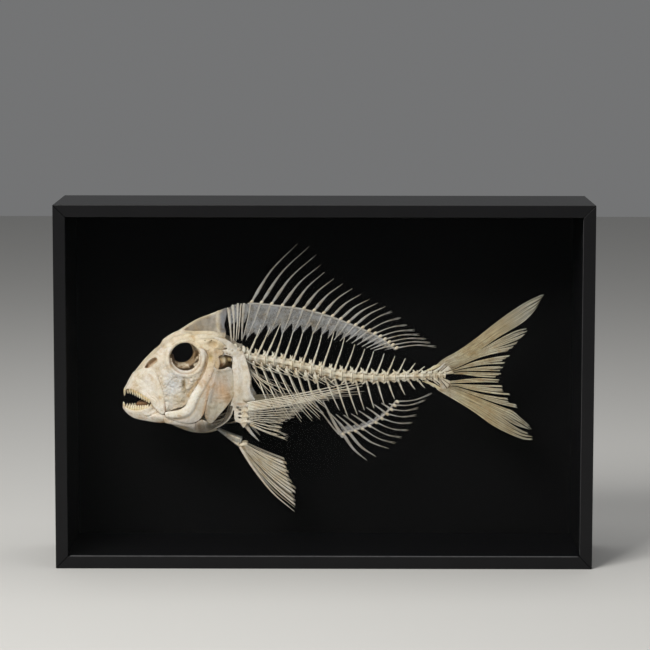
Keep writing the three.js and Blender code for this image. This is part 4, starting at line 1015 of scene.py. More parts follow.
def cheek_relief(x, z):
    P = np.stack([x + 0 * z, 0 * x + 0 * z, z + 0 * x], -1)
    r = 0.9 * bump(np.hypot(x - OX, z - OZ) - 17.2, 1.9)                    # raised rim
    rough = smooth(x, -163, -154) * smooth(z, 181, 174) * smooth(np.hypot(x - OX, z - OZ), 17, 20)
    r = r + rough * (0.75 * noise(P, 2.6, 40) * smooth(noise(P, 7.0, 43), -0.5, 0.4) + 0.42 * noise(P, 1.3, 41))
    d, t = poly_dist(x, z, smooth_line([(-147.5, 188), (-145, 179), (-149, 168), (-151, 156)]))
    r = r + 0.45 * bump(d, 2.4)
    for k in range(5):                                                      # seams of the series
        a = math.radians([206, 236, 266, 296, 330][k])
        d, t = poly_dist(x, z, [(OX + 16 * math.cos(a), OZ + 16 * math.sin(a)), (OX + 40 * math.cos(a + 0.05), OZ + 40 * math.sin(a + 0.05))])
        r = r - 0.35 * bump(d, 0.6) * (np.hypot(x - OX, z - OZ) < 36)
    for k in range(7):                                                      # pores
        a = math.radians(196 + 25 * k)
        q = 21.5 - 0.35 * k
        r = r - 0.8 * blob(x, z, OX + q * math.cos(a), OZ + q * math.sin(a), 0.75, 0.75)
    r = r - 2.2 * blob(x, z, -131.9, 168.5, 1.9, 5.4, 0.05) - 1.0 * blob(x, z, -131.0, 160, 3.2, 3.4)
    r = r - 0.6 * blob(x, z, -156.0, 166.5, 2.2, 1.1, 0.5) - 0.5 * blob(x, z, -149.0, 167.5, 1.2, 2.2, 0.4) - 0.6 * blob(x, z, -143.5, 164.6, 2.6, 1.0, -0.3)
    d, t = poly_dist(x, z, smooth_line([(-108.8, 196), (-110.4, 186), (-114.5, 176), (-121, 166), (-129, 155), (-134, 147), (-146, 143)]))
    return r - 1.7 * bump(d, 3.2)


S_ck = surf(c, -0.5, cheek_relief)
thick = 1.7 + 1.0 * bump(rad - 17, 2.5)
c.add(c.sheet(S_ck, thick, R), 0.5)
# ledge inside the lower half of the orbit, with its second rim
for rr, dy, r in ((13.7, 2.6, 0.85), (15.2, 0.8, 1.0)):
    arc = []
    for a in np.radians(np.linspace(186, 372, 13)):
        x, z = OX + rr * math.cos(a), OZ + (rr - 0.3) * math.sin(a)
        arc.append((x, -(float(side(np.array(x), np.array(z))) - dy - 0.5), z))
    c.add(c.tube(arc, r, 3), 1.1)


def paint_cheek(P, N):
    x, y, z = P[:, 0], P[:, 1], P[:, 2]
    C = toned(P, IVORY * 0.97, 51, 0.07, 0.28)
    q = np.hypot(x - OX, z - OZ)
    C = tint(C, np.array([0.62, 0.64, 0.66]), 0.75 * blob(x, z, -139, 171, 10, 8) + 0.6 * blob(x, z, -146, 159, 12, 11))
    C = tint(C, np.array([0.40, 0.33, 0.21]), 0.95 * blob(x, z, -131.9, 168, 2.4, 6.0, 0.05) + 0.55 * blob(x, z, -131, 160, 4.2, 4.0))
    C = tint(C, np.array([0.50, 0.43, 0.30]), 0.75 * blob(x, z, -133, 152.5, 9, 6.0) + 0.45 * blob(x, z, -124, 165, 4, 8, -0.6))
    d, t = poly_dist(x, z, smooth_line([(-109.6, 194), (-111.4, 185), (-115.5, 176), (-122, 166.4), (-128, 157)]))
    C = tint(C, TAN, 0.75 * bump(d, 1.6))
    C = tint(C, BROWN * 1.4, 0.5 * bump(q - 15.1, 0.8) * smooth(z, 196, 186))
    C = tint(C, BROWN * 1.7, 0.75 * smooth(-y - side(x, z) + 2.6, 0.3, -1.0))
    C = tint(C, TAN, 0.45 * blob(x, z, -147, 183.5, 4.5, 3))
    C = tint(C, np.array([0.70, 0.56, 0.46]), 0.25 * blob(x, z, -165, 172, 8, 7))
    return C


c.cut(c.tube([(-167.4, -9.6, 182.6), (-163.6, -10.6, 186.6), (-159.2, -12.4, 190.0)], [1.6, 2.7, 2.2], flat=0.4), 0.8)
CHEEK = c.shape(paint_cheek, 0.22, 4.0, 13)

# -------- palate, quadrate and the strut under the temple
ARCH = [(-160, 168.5), (-152, 155), (-149.5, 141), (-143, 141), (-133, 147), (-120, 160), (-108, 176), (-101.5, 190), (-101.5, 198), (-108, 203), (-116, 201), (-113.5, 190), (-118, 178), (-127, 173), (-142, 174), (-152, 175)]
c = Carve((-163, -19.5, 138), (-98, -8, 206), HB)
R = c.region(ARCH)


def arch_relief(x, z):
    d, t = poly_dist(x, z, smooth_line([(-107, 200), (-107.5, 188), (-116, 172), (-130, 157), (-146, 144)]))
    r = 1.3 * bump(d, 3.0)
    P = np.stack([x + 0 * z, 0 * x + 0 * z, z + 0 * x], -1)
    return r + 0.3 * noise(P, 3.0, 60)


c.add(c.sheet(surf(c, -3.6, arch_relief), 1.7, R), 0.5)
c.cut(np.maximum(np.hypot(c.X - OX, c.Z - OZ) - 15.2, -30) + 0 * c.Y, 0.6)


def paint_arch(P, N):
    x, y, z = P[:, 0], P[:, 1], P[:, 2]
    C = toned(P, mix(CREAM, TAN, 0.30), 61, 0.10, 0.5)
    return tint(C, YELLOW * 0.8, 0.5 * blob(x, z, -108.2, 193.8, 5, 6))


ARCH_SHAPE = c.shape(paint_arch, 0.14, 4.0, 14)

# -------- preopercle: bright crescent, groove, flange
CRES_F = [(-107.5, 201), (-108.6, 194), (-109.6, 188.3), (-112.9, 177.8), (-118.6, 168.4), (-126.2, 156.9), (-130.9, 147.5), (-138.4, 143.2), (-149.4, 141.2)]
CRES_R = [(-148.6, 136.6), (-143.2, 133.6), (-133, 130.6), (-124.5, 130.6), (-117.4, 134.1), (-112.4, 141.8), (-110.0, 151.5), (-105.0, 164.5), (-101.0, 176), (-98.6, 184), (-97.6, 190), (-98.8, 194.6), (-94.5, 196.6), (-95.5, 200.2), (-101.8, 201.6)]
PREO = CRES_F + CRES_R
RIDGE = smooth_line([(-105, 200.5), (-105.9, 188.8), (-109.4, 177.3), (-115.6, 166.5), (-122.6, 155), (-127.6, 144.8), (-135.8, 140.2), (-148.0, 138.9)], 40)
GROOVE = smooth_line([(-101.4, 189.2), (-104.0, 178), (-110.6, 165.6), (-117.4, 153.8), (-121.6, 142.7), (-128.4, 136.2), (-137, 134.6), (-146.5, 136.0)], 40)
lo, hi = slab_box(PREO, (-26, -13))
c = Carve(lo, hi, HB)
R = c.region(PREO)


def preo_relief(x, z):
    d, t = poly_dist(x, z, RIDGE)
    r = (1.25 + 0.5 * smooth(t, 0.35, 0.8)) * np.exp(-(d / (3.1 + 0.9 * t)) ** 3.0)
    d, t = poly_dist(x, z, GROOVE)
    r = r - 0.40 * bump(d, 1.2)
    r = r + 0.25 * stripes(x, z, -120, 150, 14) * smooth(d, 1.5, 3.5) * (r < 1)
    r = r - 2.6 * blob(x, z, -106.8, 193.4, 3.0, 4.4)
    for k in range(6):
        p = RIDGE[5 + 6 * k]
        r = r - 0.9 * blob(x, z, p[0] + 1.2, p[1] - 1.0, 0.6, 0.6)
    return r


c.add(c.sheet(surf(c, 0.3, preo_relief), 1.9, R), 0.5)


def paint_preo(P, N):
    x, y, z = P[:, 0], P[:, 1], P[:, 2]
    C = toned(P, IVORY, 71, 0.05, 0.22)
    d, t = poly_dist(x, z, RIDGE)
    C = C * (1 - 0.34 * smooth(d, 2.6, 4.6))[:, None]
    C = tint(C, np.array([0.90, 0.865, 0.77]), 0.75 * np.exp(-(d / 3.6) ** 4))
    d, t = poly_dist(x, z, GROOVE)
    C = tint(C, np.array([0.55, 0.45, 0.31]), 0.62 * bump(d, 0.9))
    rear = smooth(x + 0.35 * (z - 150), -113.5, -110.5)
    C = tint(C, PINK * 1.05, 0.45 * rear * smooth(z, 150, 175))
    d, t = poly_dist(x, z, smooth_line([(-108.3, 166), (-111.1, 151.3), (-113.4, 140), (-113.5, 133)]))
    C = tint(C, np.array([0.50, 0.33, 0.19]), 0.75 * bump(d, 1.7))
    C = tint(C, np.array([0.78, 0.72, 0.68]), 0.5 * blob(x, z, -132, 132.5, 12, 3))
    C = tint(C, YELLOW * 0.9, 0.4 * smooth(z, 176, 190))
    # painted shade: the lower edge darker, for the underside turned away from the light above
    C = C * (1 - 0.22 * smooth(z, 136, 129))[:, None]
    return tint(C, np.array([0.46, 0.34, 0.13]), 0.95 * blob(x, z, -107.0, 193.4, 2.8, 4.4))


PREO_SHAPE = c.shape(paint_preo, 0.22, 4.5, 15)

# -------- opercle
OPER = [(-106.2, 187.4), (-102.6, 184.6), (-98.6, 182.8), (-94.2, 183.2), (-89.8, 184.8), (-86.6, 182.6), (-85.4, 178), (-84.9, 172), (-84.9, 166.0), (-84.4, 160), (-86.8, 153.4), (-92.2, 146.2), (-98.6, 138.8), (-105.2, 131.4),
        (-109.4, 132.2), (-112.4, 139), (-111.0, 148), (-108.4, 158), (-106.0, 168.5), (-105.4, 179)]
lo, hi = slab_box(OPER, (-27, -14))
c = Carve(lo, hi, HB)
R = c.region(OPER)
OC = (-98.5, 190.0)                    # where its growth lines start


def oper_relief(x, z):
    d, t = poly_dist(x, z, smooth_line([(-104.5, 185.5), (-98.5, 181.2), (-90, 182.8)]))
    r = 0.9 * bump(d, 1.6)
    d, t = poly_dist(x, z, smooth_line([(-99, 188), (-103.2, 170), (-107.5, 156), (-110, 142)]))
    r = r + 0.7 * bump(d, 1.8)
    d, t = poly_dist(x, z, smooth_line([(-109.5, 146), (-100, 150.5), (-88.5, 158.5)]))
    r = r + 0.45 * bump(d, 2.0)
    r = r + 0.20 * stripes(x, z, OC[0], OC[1], 22)
    q = np.hypot(x - OC[0], z - OC[1])
    return r + 0.12 * np.sin(q * 1.5 + 1.5 * np.sin(q * 0.37)) * smooth(q, 22, 34)


c.add(c.sheet(surf(c, 0.4, oper_relief), 1.35, R), 0.5)


def paint_oper(P, N):
    x, y, z = P[:, 0], P[:, 1], P[:, 2]
    C = toned(P, mix(IVORY, WHITE_GREY, 0.62) * 0.80, 81, 0.08, 0.35)
    tri = blob(x, z, -95.6, 162.5, 7.4, 10.5, 0.25)
    C = tint(C, np.array([0.60, 0.42, 0.27]), 0.95 * tri)
    C = tint(C, np.array([0.66, 0.56, 0.34]), 0.45 * blob(x, z, -85.5, 166, 2.6, 12))
    C = tint(C, np.array([0.60, 0.55, 0.38]), 0.5 * blob(x, z, -100, 144, 10, 7))
    C = tint(C, PINK, 0.35 * blob(x, z, -104, 168, 2.6, 12))
    C = C * (1 + 0.08 * stripes(x, z, OC[0], OC[1], 30))[:, None]
    C = tint(C, np.array([0.50, 0.33, 0.19]), 0.55 * blob(x, z, -111.5, 142, 2.2, 12))
    C = C * (0.93 - 0.17 * smooth(x + 0.35 * (z - 150), -97, -104))[:, None]
    return C


OPER_SHAPE = c.shape(paint_oper, 0.16, 5.0, 16)

# -------- interopercle and subopercle, with the open slot behind
SUBO = [(-150.4, 135.6), (-150.2, 130.6), (-143, 129.0), (-134, 127.6), (-127, 126.0), (-122.4, 123.2), (-120.6, 120.6), (-118.8, 121.8), (-112, 121.8), (-103.2, 126.0), (-97.0, 130.4), (-93.4, 136.4),
        (-90.4, 143), (-87.6, 150), (-87.0, 153.6), (-88.6, 152.0), (-91.5, 146.5), (-99, 138.4), (-105.5, 131.4), (-111.0, 133.0), (-116.4, 134.4), (-124, 130.6), (-134, 131.6), (-143.4, 134.4)]
lo, hi = slab_box(SUBO, (-24, -8))
c = Carve(lo, hi, HB)
R = c.region(SUBO)


def subo_relief(x, z):
    d, t = poly_dist(x, z, smooth_line([(-121, 132.5), (-120.8, 127), (-120.4, 121)]))
    r = -0.8 * bump(d, 0.7)
    d, t = poly_dist(x, z, smooth_line([(-113.8, 134), (-112.5, 127), (-110.5, 121.5)]))
    r = r - 0.6 * bump(d, 0.6)
    d, t = poly_dist(x, z, smooth_line([(-146, 131), (-132, 128.3), (-122, 127)]))
    r = r + 0.5 * bump(d, 2.0)
    return r + 0.15 * stripes(x, z, -118, 136, 18)


c.add(c.sheet(surf(c, -0.3, subo_relief), 1.4, R), 0.5)
c.cut(c.region([(-104.6, 132.2), (-101.0, 128.9), (-96.9, 131.8), (-94.0, 137.0), (-91.2, 143.4), (-90.0, 148.2), (-93.4, 143.4), (-98.6, 137.6)]) + 0 * c.Y, 0.3)
for k in range(3):
    c.add(c.tube([(-103.6 + 2.0 * k, -15.4, 133.6 + 0.9 * k), (-100.6 + 2.0 * k, -16.0, 130.4 + 1.3 * k)], [0.42, 0.42]), 0.2)


def paint_subo(P, N):
    x, y, z = P[:, 0], P[:, 1], P[:, 2]
    C = toned(P, mix(IVORY, WHITE_GREY, 0.35), 91, 0.07, 0.3)
    C = tint(C, np.array([0.74, 0.66, 0.62]), 0.5 * smooth(x, -118, -128) * smooth(z, 133, 126))
    C = tint(C, np.array([0.52, 0.38, 0.24]), 0.75 * blob(x, z, -118, 127, 4.2, 7))
    # painted shade: darker towards the rear and towards the bottom, for the band that turns down, away from the light
    # above
    C = C * (1 - 0.30 * smooth(x, -124, -116) - 0.42 * smooth(z, 133, 127.6))[:, None]
    # thin translucent sheet painted near black, as painted shade for the dark hollow behind it, with one brown streak
    C = tint(C, np.array([0.075, 0.068, 0.052]), 0.96 * smooth(x, -114, -107) * smooth(z, 123.5, 127.5) * (1 - 0.30 * smooth(np.abs(fbm(P, 5, 93)), 0.25, 0.6)))
    C = tint(C, np.array([0.30, 0.25, 0.17]), 0.6 * bump(poly_dist(x, z, smooth_line([(-108, 131), (-99, 139.5), (-91, 148)]))[0], 1.3))
    C = tint(C, TAN, 0.35 * blob(x, z, -148, 132, 3.5, 3.5))
    return C


SUBO_SHAPE = c.shape(paint_subo, 0.10, 5.0, 17)

# -------- shoulder girdle: cleithrum, its flange, scapula and coracoid
CLEI = [(-86.0, 199.6), (-82.5, 202.4), (-78.5, 201.0), (-75.6, 197.6), (-73.2, 191), (-70.6, 182), (-68.8, 173.5), (-69.4, 165), (-67.6, 158.5), (-64.6, 153.6), (-66.4, 151.6), (-74, 151.2), (-80.6, 150.6), (-84.0, 147.6),
        (-85.4, 143.0), (-87.0, 138.0), (-91.0, 132.2), (-97.4, 127.2), (-104.4, 124.3), (-112.0, 122.2), (-110.6, 124.2), (-102.4, 127.6), (-96.4, 131.8), (-93.2, 137.0), (-90.6, 143.6), (-88.6, 150), (-87.0, 157), (-86.4, 166), (-86.4, 174), (-86.6, 183), (-86.0, 192)]
lo, hi = slab_box(CLEI, (-24, -1.5))
c = Carve((-114, -27.5, 106), (-58, -1.0, 214), 0.55)
R = c.region(CLEI)
sh_y = keys([[118, 5.0], [125, 11.0], [134, 15.6], [146, 18.6], [160, 19.6], [172, 19.7], [188, 18.5], [202, 15.4]])


def shoulder_relief(x, z):
    d, t = poly_dist(x, z, smooth_line([(-83, 198), (-81.6, 180), (-80.8, 162), (-82.6, 147), (-89.4, 134), (-101, 125)]))
    r = 0.45 * bump(d, 2.4)
    d, t = poly_dist(x, z, smooth_line([(-75, 188), (-76.5, 172), (-74, 158)]))
    r = r - 0.55 * bump(d, 3.0)
    r = r - 0.5 * smooth(x, -74, -66) * smooth(z, 196, 180)
    return r + 0.12 * stripes(x, z, -80, 150, 26)


S_sh = -(sh_y(c.Z) + 0 * c.X + shoulder_relief(c.X, c.Z)).astype(np.float32)
c.add(c.sheet(S_sh, 2.0, R), 0.5)
# post-temporal fork and the bone under it
c.add(c.tube([(-103, -16.4, 211.6), (-96, -16.6, 209.0), (-88.5, -15.8, 204.8), (-82.5, -15.4, 198)], [1.3, 2.4, 3.0, 2.6], flat=1.7), 1.8)
c.add(c.tube([(-99.5, -13.6, 201.5), (-93.5, -15.4, 202.6), (-87, -15.6, 202.8)], [0.9, 1.2, 1.6], flat=1.4), 1.4)
c.add(c.tube([(-100.5, -15.6, 197.6), (-94, -17.0, 198.2), (-87, -17.2, 197.0), (-80.5, -16.4, 194.5)], [1.8, 2.6, 3.0, 2.6], flat=1.5), 1.6)
c.add(c.tube([(-90, -16.6, 203.4), (-84, -16.8, 199.6), (-78.4, -15.6, 193.4), (-76.0, -13.0, 188.4)], [2.0, 2.6, 2.4, 1.6], flat=1.4), 1.4)
for k in range(16):                                            # knobs and pits on it
    px_, pz_ = -98 + 1.35 * k, 198.6 + 3.0 * math.sin(2.4 * k)
    if k % 2:
        c.cut(c.ball((px_, -18.8, pz_), (0.9, 1.2, 0.8)), 0.5)
    else:
        c.add(c.ball((px_, -17.4, pz_), (1.3, 1.4, 1.1)), 0.8)
c.add(c.tube([(-99, -11.5, 193.5), (-93.5, -12.6, 191.8), (-87.5, -12.8, 190.6)], [2.2, 2.6, 2.2], flat=1.3), 1.2)
c.add(c.ball((-97.3, -14.6, 186.4), (2.5, 2.2, 2.4)), 0.8)
# scapula and coracoid behind, with the row of short bones that bear the fin
PLATE2 = [(-83.5, 149), (-76, 152.2), (-71.8, 148), (-72.0, 140), (-72.6, 131.5), (-75.6, 127.0), (-79.2, 131.0), (-83.6, 133.2), (-84.8, 140)]
R2 = c.region(PLATE2)
S2 = -(19.2 + 3.4 * smooth(c.X, -84, -72) + 0 * c.Z + 0.3 * bump(c.Z - 140 + 0 * c.X, 5)).astype(np.float32)
c.add(c.sheet(S2, 1.8, R2), 1.0)
for k in range(4):
    z0 = 148.2 - 5.2 * k
    c.add(c.tube([(-78.4 + 0.5 * k, -21.6, z0 - 0.6), (-75.0, -22.8, z0 + 0.2), (-72.2 + 0.8 * k, -23.8, z0 + 0.6)], [1.5, 1.0, 1.9]), 0.7)
for k, z0 in enumerate((143.9, 140.0, 136.3)):
    c.cut(c.ball((-79.2, -21.0, z0), (1.7, 3.5, 0.85)), 0.3)
c.cut(c.ball((-81.0, -19.6, 146.0), (1.6, 3.5, 1.2)), 0.3)
c.add(c.tube([(-79, -17.4, 134), (-86, -12.5, 131), (-92, -9.2, 129.5)], [1.4, 1.0, 0.8], flat=1.5), 1.2)
# postcleithrum
c.add(c.tube([(-77.5, -19.4, 135.0), (-73.6, -19.4, 129.4), (-68.4, -18.6, 121.5), (-59.8, -17.2, 112.2)], [1.9, 2.1, 1.5, 0.35], flat=1.7), 1.2)


def paint_shoulder(P, N):
    x, y, z = P[:, 0], P[:, 1], P[:, 2]
    C = toned(P, mix(IVORY, WHITE_GREY, 0.25), 101, 0.05, 0.20)
    C = tint(C, np.array([0.56, 0.585, 0.60]), 0.65 * smooth(x, -74, -68) * smooth(z, 172, 160))
    C = tint(C, np.array([0.62, 0.64, 0.63]), 0.45 * blob(x, z, -80, 150, 7, 8))
    C = tint(C, np.array([0.38, 0.24, 0.15]), 0.75 * blob(x, z, -79, 149.6, 4.2, 1.3))
    C = tint(C, TAN, 0.45 * blob(x, z, -71, 196, 3.5, 8) + 0.3 * blob(x, z, -84.5, 160, 1.6, 20))
    C = tint(C, YELLOW * 1.1, 0.45 * blob(x, z, -74.5, 140, 5, 11) * (y < -19))
    C = tint(C, TAN * 0.8, 0.6 * blob(x, z, -86.5, 204.5, 2.2, 2.0))
    C = tint(C, np.array([0.66, 0.64, 0.58]), 0.4 * smooth(z, 186, 196))
    inner = (y > -16.4) * (x < -87.4)
    C = tint(C, np.array([0.60, 0.45, 0.20]) * (1 + 0.4 * fbm(P, 2.4, 106))[:, None], 0.9 * smooth(z, 197.5, 195.5) * smooth(z, 181, 184) * inner)
    C = tint(C, np.array([0.36, 0.15, 0.08]), 0.9 * blob(x, z, -97.3, 186.0, 2.5, 2.4, 0.3) * inner)
    # lower limb: painted near black, as painted shade for the hollow under the gill cover, with stain-like blotches and
    # a pale rear margin
    d, t = poly_dist(x, z, smooth_line([(-84.2, 147.4), (-85.6, 143), (-87.4, 138), (-91.3, 132.2), (-97.6, 127.2), (-104.4, 124.2), (-112, 122)]))
    limb = smooth(z, 153, 147) * smooth(x, -82.0, -85.0) * smooth(d, 0.7, 1.6) * (y > -19.8)
    C = tint(C, np.array([0.10, 0.082, 0.058]) * (1 + 0.7 * fbm(P, 2.2, 105))[:, None], 0.92 * limb)
    # dimmed overall, and darker still towards the bottom as painted shade of the lower part
    return C * (0.91 - 0.08 * smooth(z, 160, 150))[:, None]


SHOULDER = c.shape(paint_shoulder, 0.10, 5.0, 18)

for tag, flip in (("left", False), ("right", True)):
    for name, shape, node in (("cheek_plates", CHEEK, "cheek_"), ("palate_bones", ARCH_SHAPE, "jaw_arch_"), ("preopercle_bone", PREO_SHAPE, "preopercle_"),
                              ("opercle_bone", OPER_SHAPE, "opercle_"), ("subopercle_bone", SUBO_SHAPE, "subopercle_"), ("shoulder_bones", SHOULDER, "shoulder_")):
        make(name + "_" + tag, Shape().join(shape, flip), node + tag, M_HEAD)


# --------------------------------------------------------------------- column
NEURAL_DX = keys([[3, 4.8], [6, 5.4], [8, 7.6], [11, 10.4], [14, 9.6], [15, 8], [22, 7.6]])
NEURAL_DZ = keys([[3, 12.5], [6, 16], [8, 23], [9, 26.5], [11, 27], [12, 30.5], [13, 24.8], [14, 21.4], [16, 18.4], [18, 13.9], [19, 9.2], [20, 5.8], [23, 3.4]])
HAEMAL_DX = keys([[11, 15], [13, 12.7], [14, 9.3], [18, 7.6], [20, 8], [22, 9]])
HAEMAL_DZ = keys([[11, 31], [12, 36.5], [13, 31.8], [14, 26.8], [15, 25], [17, 16.5], [18, 13.7], [19, 9], [22, 7.5]])
V_COL = np.array([0.72, 0.69, 0.585])
S_COL = np.array([0.60, 0.585, 0.535])
# the spines of the trunk reach past the tips of the fin carriers
N_TIP = {3: (-59.6, 222.0), 4: (-50.4, 222.0), 5: (-41.4, 223.2), 6: (-38.6, 216.6), 7: (-29.2, 216.6), 8: (-19.6, 217.6), 9: (-10.2, 216.2), 10: (-1.8, 215.4), 11: (9.8, 218.0)}


def spine_paint(base, tip, seed):
    def f(P, t):
        k = np.clip(np.asarray(t, float), 0, 1)[:, None]
        c = base + (tip - base) * k
        return c * (1 + 0.10 * fbm(P, 5.0, seed))[:, None]
    return f


def centrum(i, seed):
    x0, x1 = float(col_x(i)) - 1.0 + 0.14, float(col_x(i + 1)) - 1.0 - 0.14
    L = x1 - x0

    def centre(t):
        x = x0 + L * t
        return np.stack([x, 0 * x, col_z(x)], -1)

    def ring(t, a):
        x = x0 + L * t
        r = col_r(x) * 1.03
        q = np.abs(2 * t - 1)
        prof = 0.70 + 0.30 * q ** 2.2
        prof = prof + 0.035 * bump(q - 0.90, 0.07) - 0.06 * smooth(q, 0.955, 1.0)
        lobes = 1 + (0.13 * np.cos(5 * a + 0.6) + 0.09 * np.cos(8 * a + seed) + 0.07 * np.cos(13 * a + 2.1 * seed)) * (1 - q ** 3)
        lobes = lobes + 0.07 * noise(np.stack([x * 0.9, 3 * np.cos(a), 3 * np.sin(a)], -1), 1.0, seed) * (1 - q ** 6)
        rr = r * prof * lobes
        tilt = (col_z(x0 + L) - col_z(x0)) / L
        return np.stack([-tilt * rr * np.cos(a) * 0, rr * np.sin(a), 1.04 * rr * np.cos(a)], -1)

    def col(P):
        t = (P[:, 0] - x0) / L
        C = toned(P, V_COL, 200 + seed, 0.12, 0.35, 6.0)
        q = np.abs(2 * t - 1)
        C = tint(C, BROWN * 1.5, 0.55 * smooth(q, 0.93, 1.0))
        C = tint(C, np.array([0.90, 0.85, 0.72]), 0.75 * bump(q - 0.84, 0.10))
        # painted shade: the waist is darkened to tan on its lower side, which faces away from the light above (N_y is
        # how far a point faces up)
        return tint(C, TAN * 0.7, 0.55 * smooth(q, 0.55, 0.1) * np.clip(0.6 - N_y(P, centre, t), 0, 1))
    return barrel(centre, ring, 26, 36, col)


def N_y(P, centre, t):
    r = P - centre(t)
    return r[:, 2] / (np.linalg.norm(r, axis=1) + 1e-6)


def vertebra(i, trunk):
    """Centrum, neural arch and spine, processes; and the haemal arch behind the ribs."""
    s = Shape()
    s.join(centrum(i, i))
    x, L = float(col_x(i)) - 1.0, float(col_x(i + 1) - col_x(i))
    z, r = float(col_z(x + L / 2)), float(col_r(x + L / 2))
    grey = spine_paint(V_COL, S_COL, i)
    if i >= 3:
        dx, dz = float(NEURAL_DX(i)), float(NEURAL_DZ(i))
        tip = (N_TIP[i][0], 0, N_TIP[i][1]) if i in N_TIP else (x + 1.8 + dx, 0, z + r + dz)
        bx, bz = x + (0.14 if i in N_TIP else 0.30) * L, z + r
        ax, az = mix(bx, tip[0], 0.14), mix(bz, tip[2], 0.14) + 0.4
        for k in (-1, 1):
            s.join(rod([(bx - 0.6, k * 0.62 * r, z + 0.62 * r), (bx + 0.2, k * 0.42 * r, bz + 0.9), (ax, 0, az)], [1.5, 1.3, 1.4], [2.6, 2.0, 1.7], 8, 8, V_COL, 0.1, i))
            f = min(1.0, 0.35 + r / 6)
            # zygapophyses
            s.join(rod([(x + 0.22 * L, k * 0.50 * r, z + 0.80 * r), (x - 0.05 * L, k * 0.52 * r, z + 1.12 * r), (x - 0.24 * L, k * 0.40 * r, z + 1.90 * r)], [1.4, 1.1, 0.3], [3.2, 2.2, 0.35], 8, 7, V_COL * 1.1, 0.15, i + 3))
            s.join(rod([(x + 0.70 * L, k * 0.50 * r, z + 0.78 * r), (x + 0.90 * L, k * 0.55 * r, z + 1.02 * r), (x + 1.02 * L, k * 0.50 * r, z + 1.46 * r)], [1.3, 1.0, 0.35], [2.6, 1.7, 0.35], 7, 7, V_COL * 1.1, 0.15, i + 5))
        if i <= 22:
            s.join(rod([(ax - 0.2, 0, az - 1.0), (mix(ax, tip[0], 0.5) + 0.02 * dz, 0, mix(az, tip[2], 0.5)), tip], [1.7, 1.1, 0.5], [2.2 if trunk else 1.9, 1.2, 0.65], 20, 9, grey, 0.14, i, groove=0.12))
    else:
        for k in (-1, 1):
            s.join(rod([(x + 0.3 * L, k * 0.6 * r, z + 0.6 * r), (x + 0.45 * L, k * 0.45 * r, z + r + 1.2), (x + 0.3 * L, k * 0.1, z + r + 4.2)], [1.8, 1.6, 1.2], [4.0, 3.4, 2.2], 9, 8, V_COL, 0.15, i))
            s.join(rod([(x + 0.7 * L, k * 0.5 * r, z + 0.8 * r), (x + 0.95 * L, k * 0.5 * r, z + 1.3 * r)], [1.2, 0.5], [1.8, 0.6], 5, 7, V_COL))
    if not trunk:
        dx, dz = float(HAEMAL_DX(i)), float(HAEMAL_DZ(i))
        bx, bz = x + 0.34 * L, z - r
        tip = (x + 1.8 + dx, 0, z - r - dz)
        ax, az = mix(bx, tip[0], 0.14), mix(bz, tip[2], 0.14) - 0.5
        for k in (-1, 1):
            s.join(rod([(bx - 0.6, k * 0.62 * r, z - 0.62 * r), (bx + 0.2, k * 0.42 * r, bz - 0.9), (ax, 0, az)], [1.4, 1.2, 1.4], [2.6, 2.0, 1.8], 8, 8, V_COL, 0.1, i + 7))
            s.join(rod([(x + 0.2 * L, k * 0.5 * r, z - 0.8 * r), (x + 0.0 * L, k * 0.5 * r, z - 1.15 * r), (x - 0.12 * L, k * 0.4 * r, z - 1.4 * r)], [1.0, 0.8, 0.3], [1.6, 1.1, 0.35], 6, 7, V_COL))
            s.join(rod([(x + 0.72 * L, k * 0.5 * r, z - 0.78 * r), (x + 0.92 * L, k * 0.5 * r, z - 1.05 * r)], [1.0, 0.4], [1.5, 0.45], 5, 7, V_COL))
        if i <= 22:
            s.join(rod([(ax - 0.2, 0, az + 1.0), (mix(ax, tip[0], 0.5) - 0.01 * dz, 0, mix(az, tip[2], 0.5)), tip], [1.6, 1.1, 0.5], [2.1, 1.35, 0.65], 16, 9, grey, 0.12, i + 9, groove=0.12))
    return s


trunk = Shape()
for i in range(1, 11):
    trunk.join(vertebra(i, True))
PREDORSAL = [([(-91.4, 238.4), (-90.2, 234.0), (-88.9, 221.8), (-87.7, 205.7)], [1.4, 3.0, 2.0, 1.6]),
             ([(-86.8, 241.2), (-86.0, 237.0), (-85.5, 224.7), (-85.3, 206.0)], [1.6, 2.8, 1.5, 1.3]),
             ([(-81.6, 242.6), (-81.6, 238.6), (-82.3, 224.7), (-83.2, 206.4)], [2.2, 2.2, 1.4, 1.0]),
             ([(-78.6, 242.4), (-79.9, 224.7), (-81.6, 208.0)], [1.5, 1.1, 0.7])]
for k, (line, h) in enumerate(PREDORSAL):
    trunk.join(rod([(p[0] + 0.25 * math.sin(3.1 * q + k), 0, p[1]) for q, p in enumerate(line)], [0.9, 1.3, 1.5, 1.4][:len(line)], h, 26, 9, spine_paint(S_COL * 0.92, S_COL * 0.98, 300 + k), 0.16, k, groove=0.15))
make("spine_trunk_bones", trunk, "spine_trunk", M_BONE)

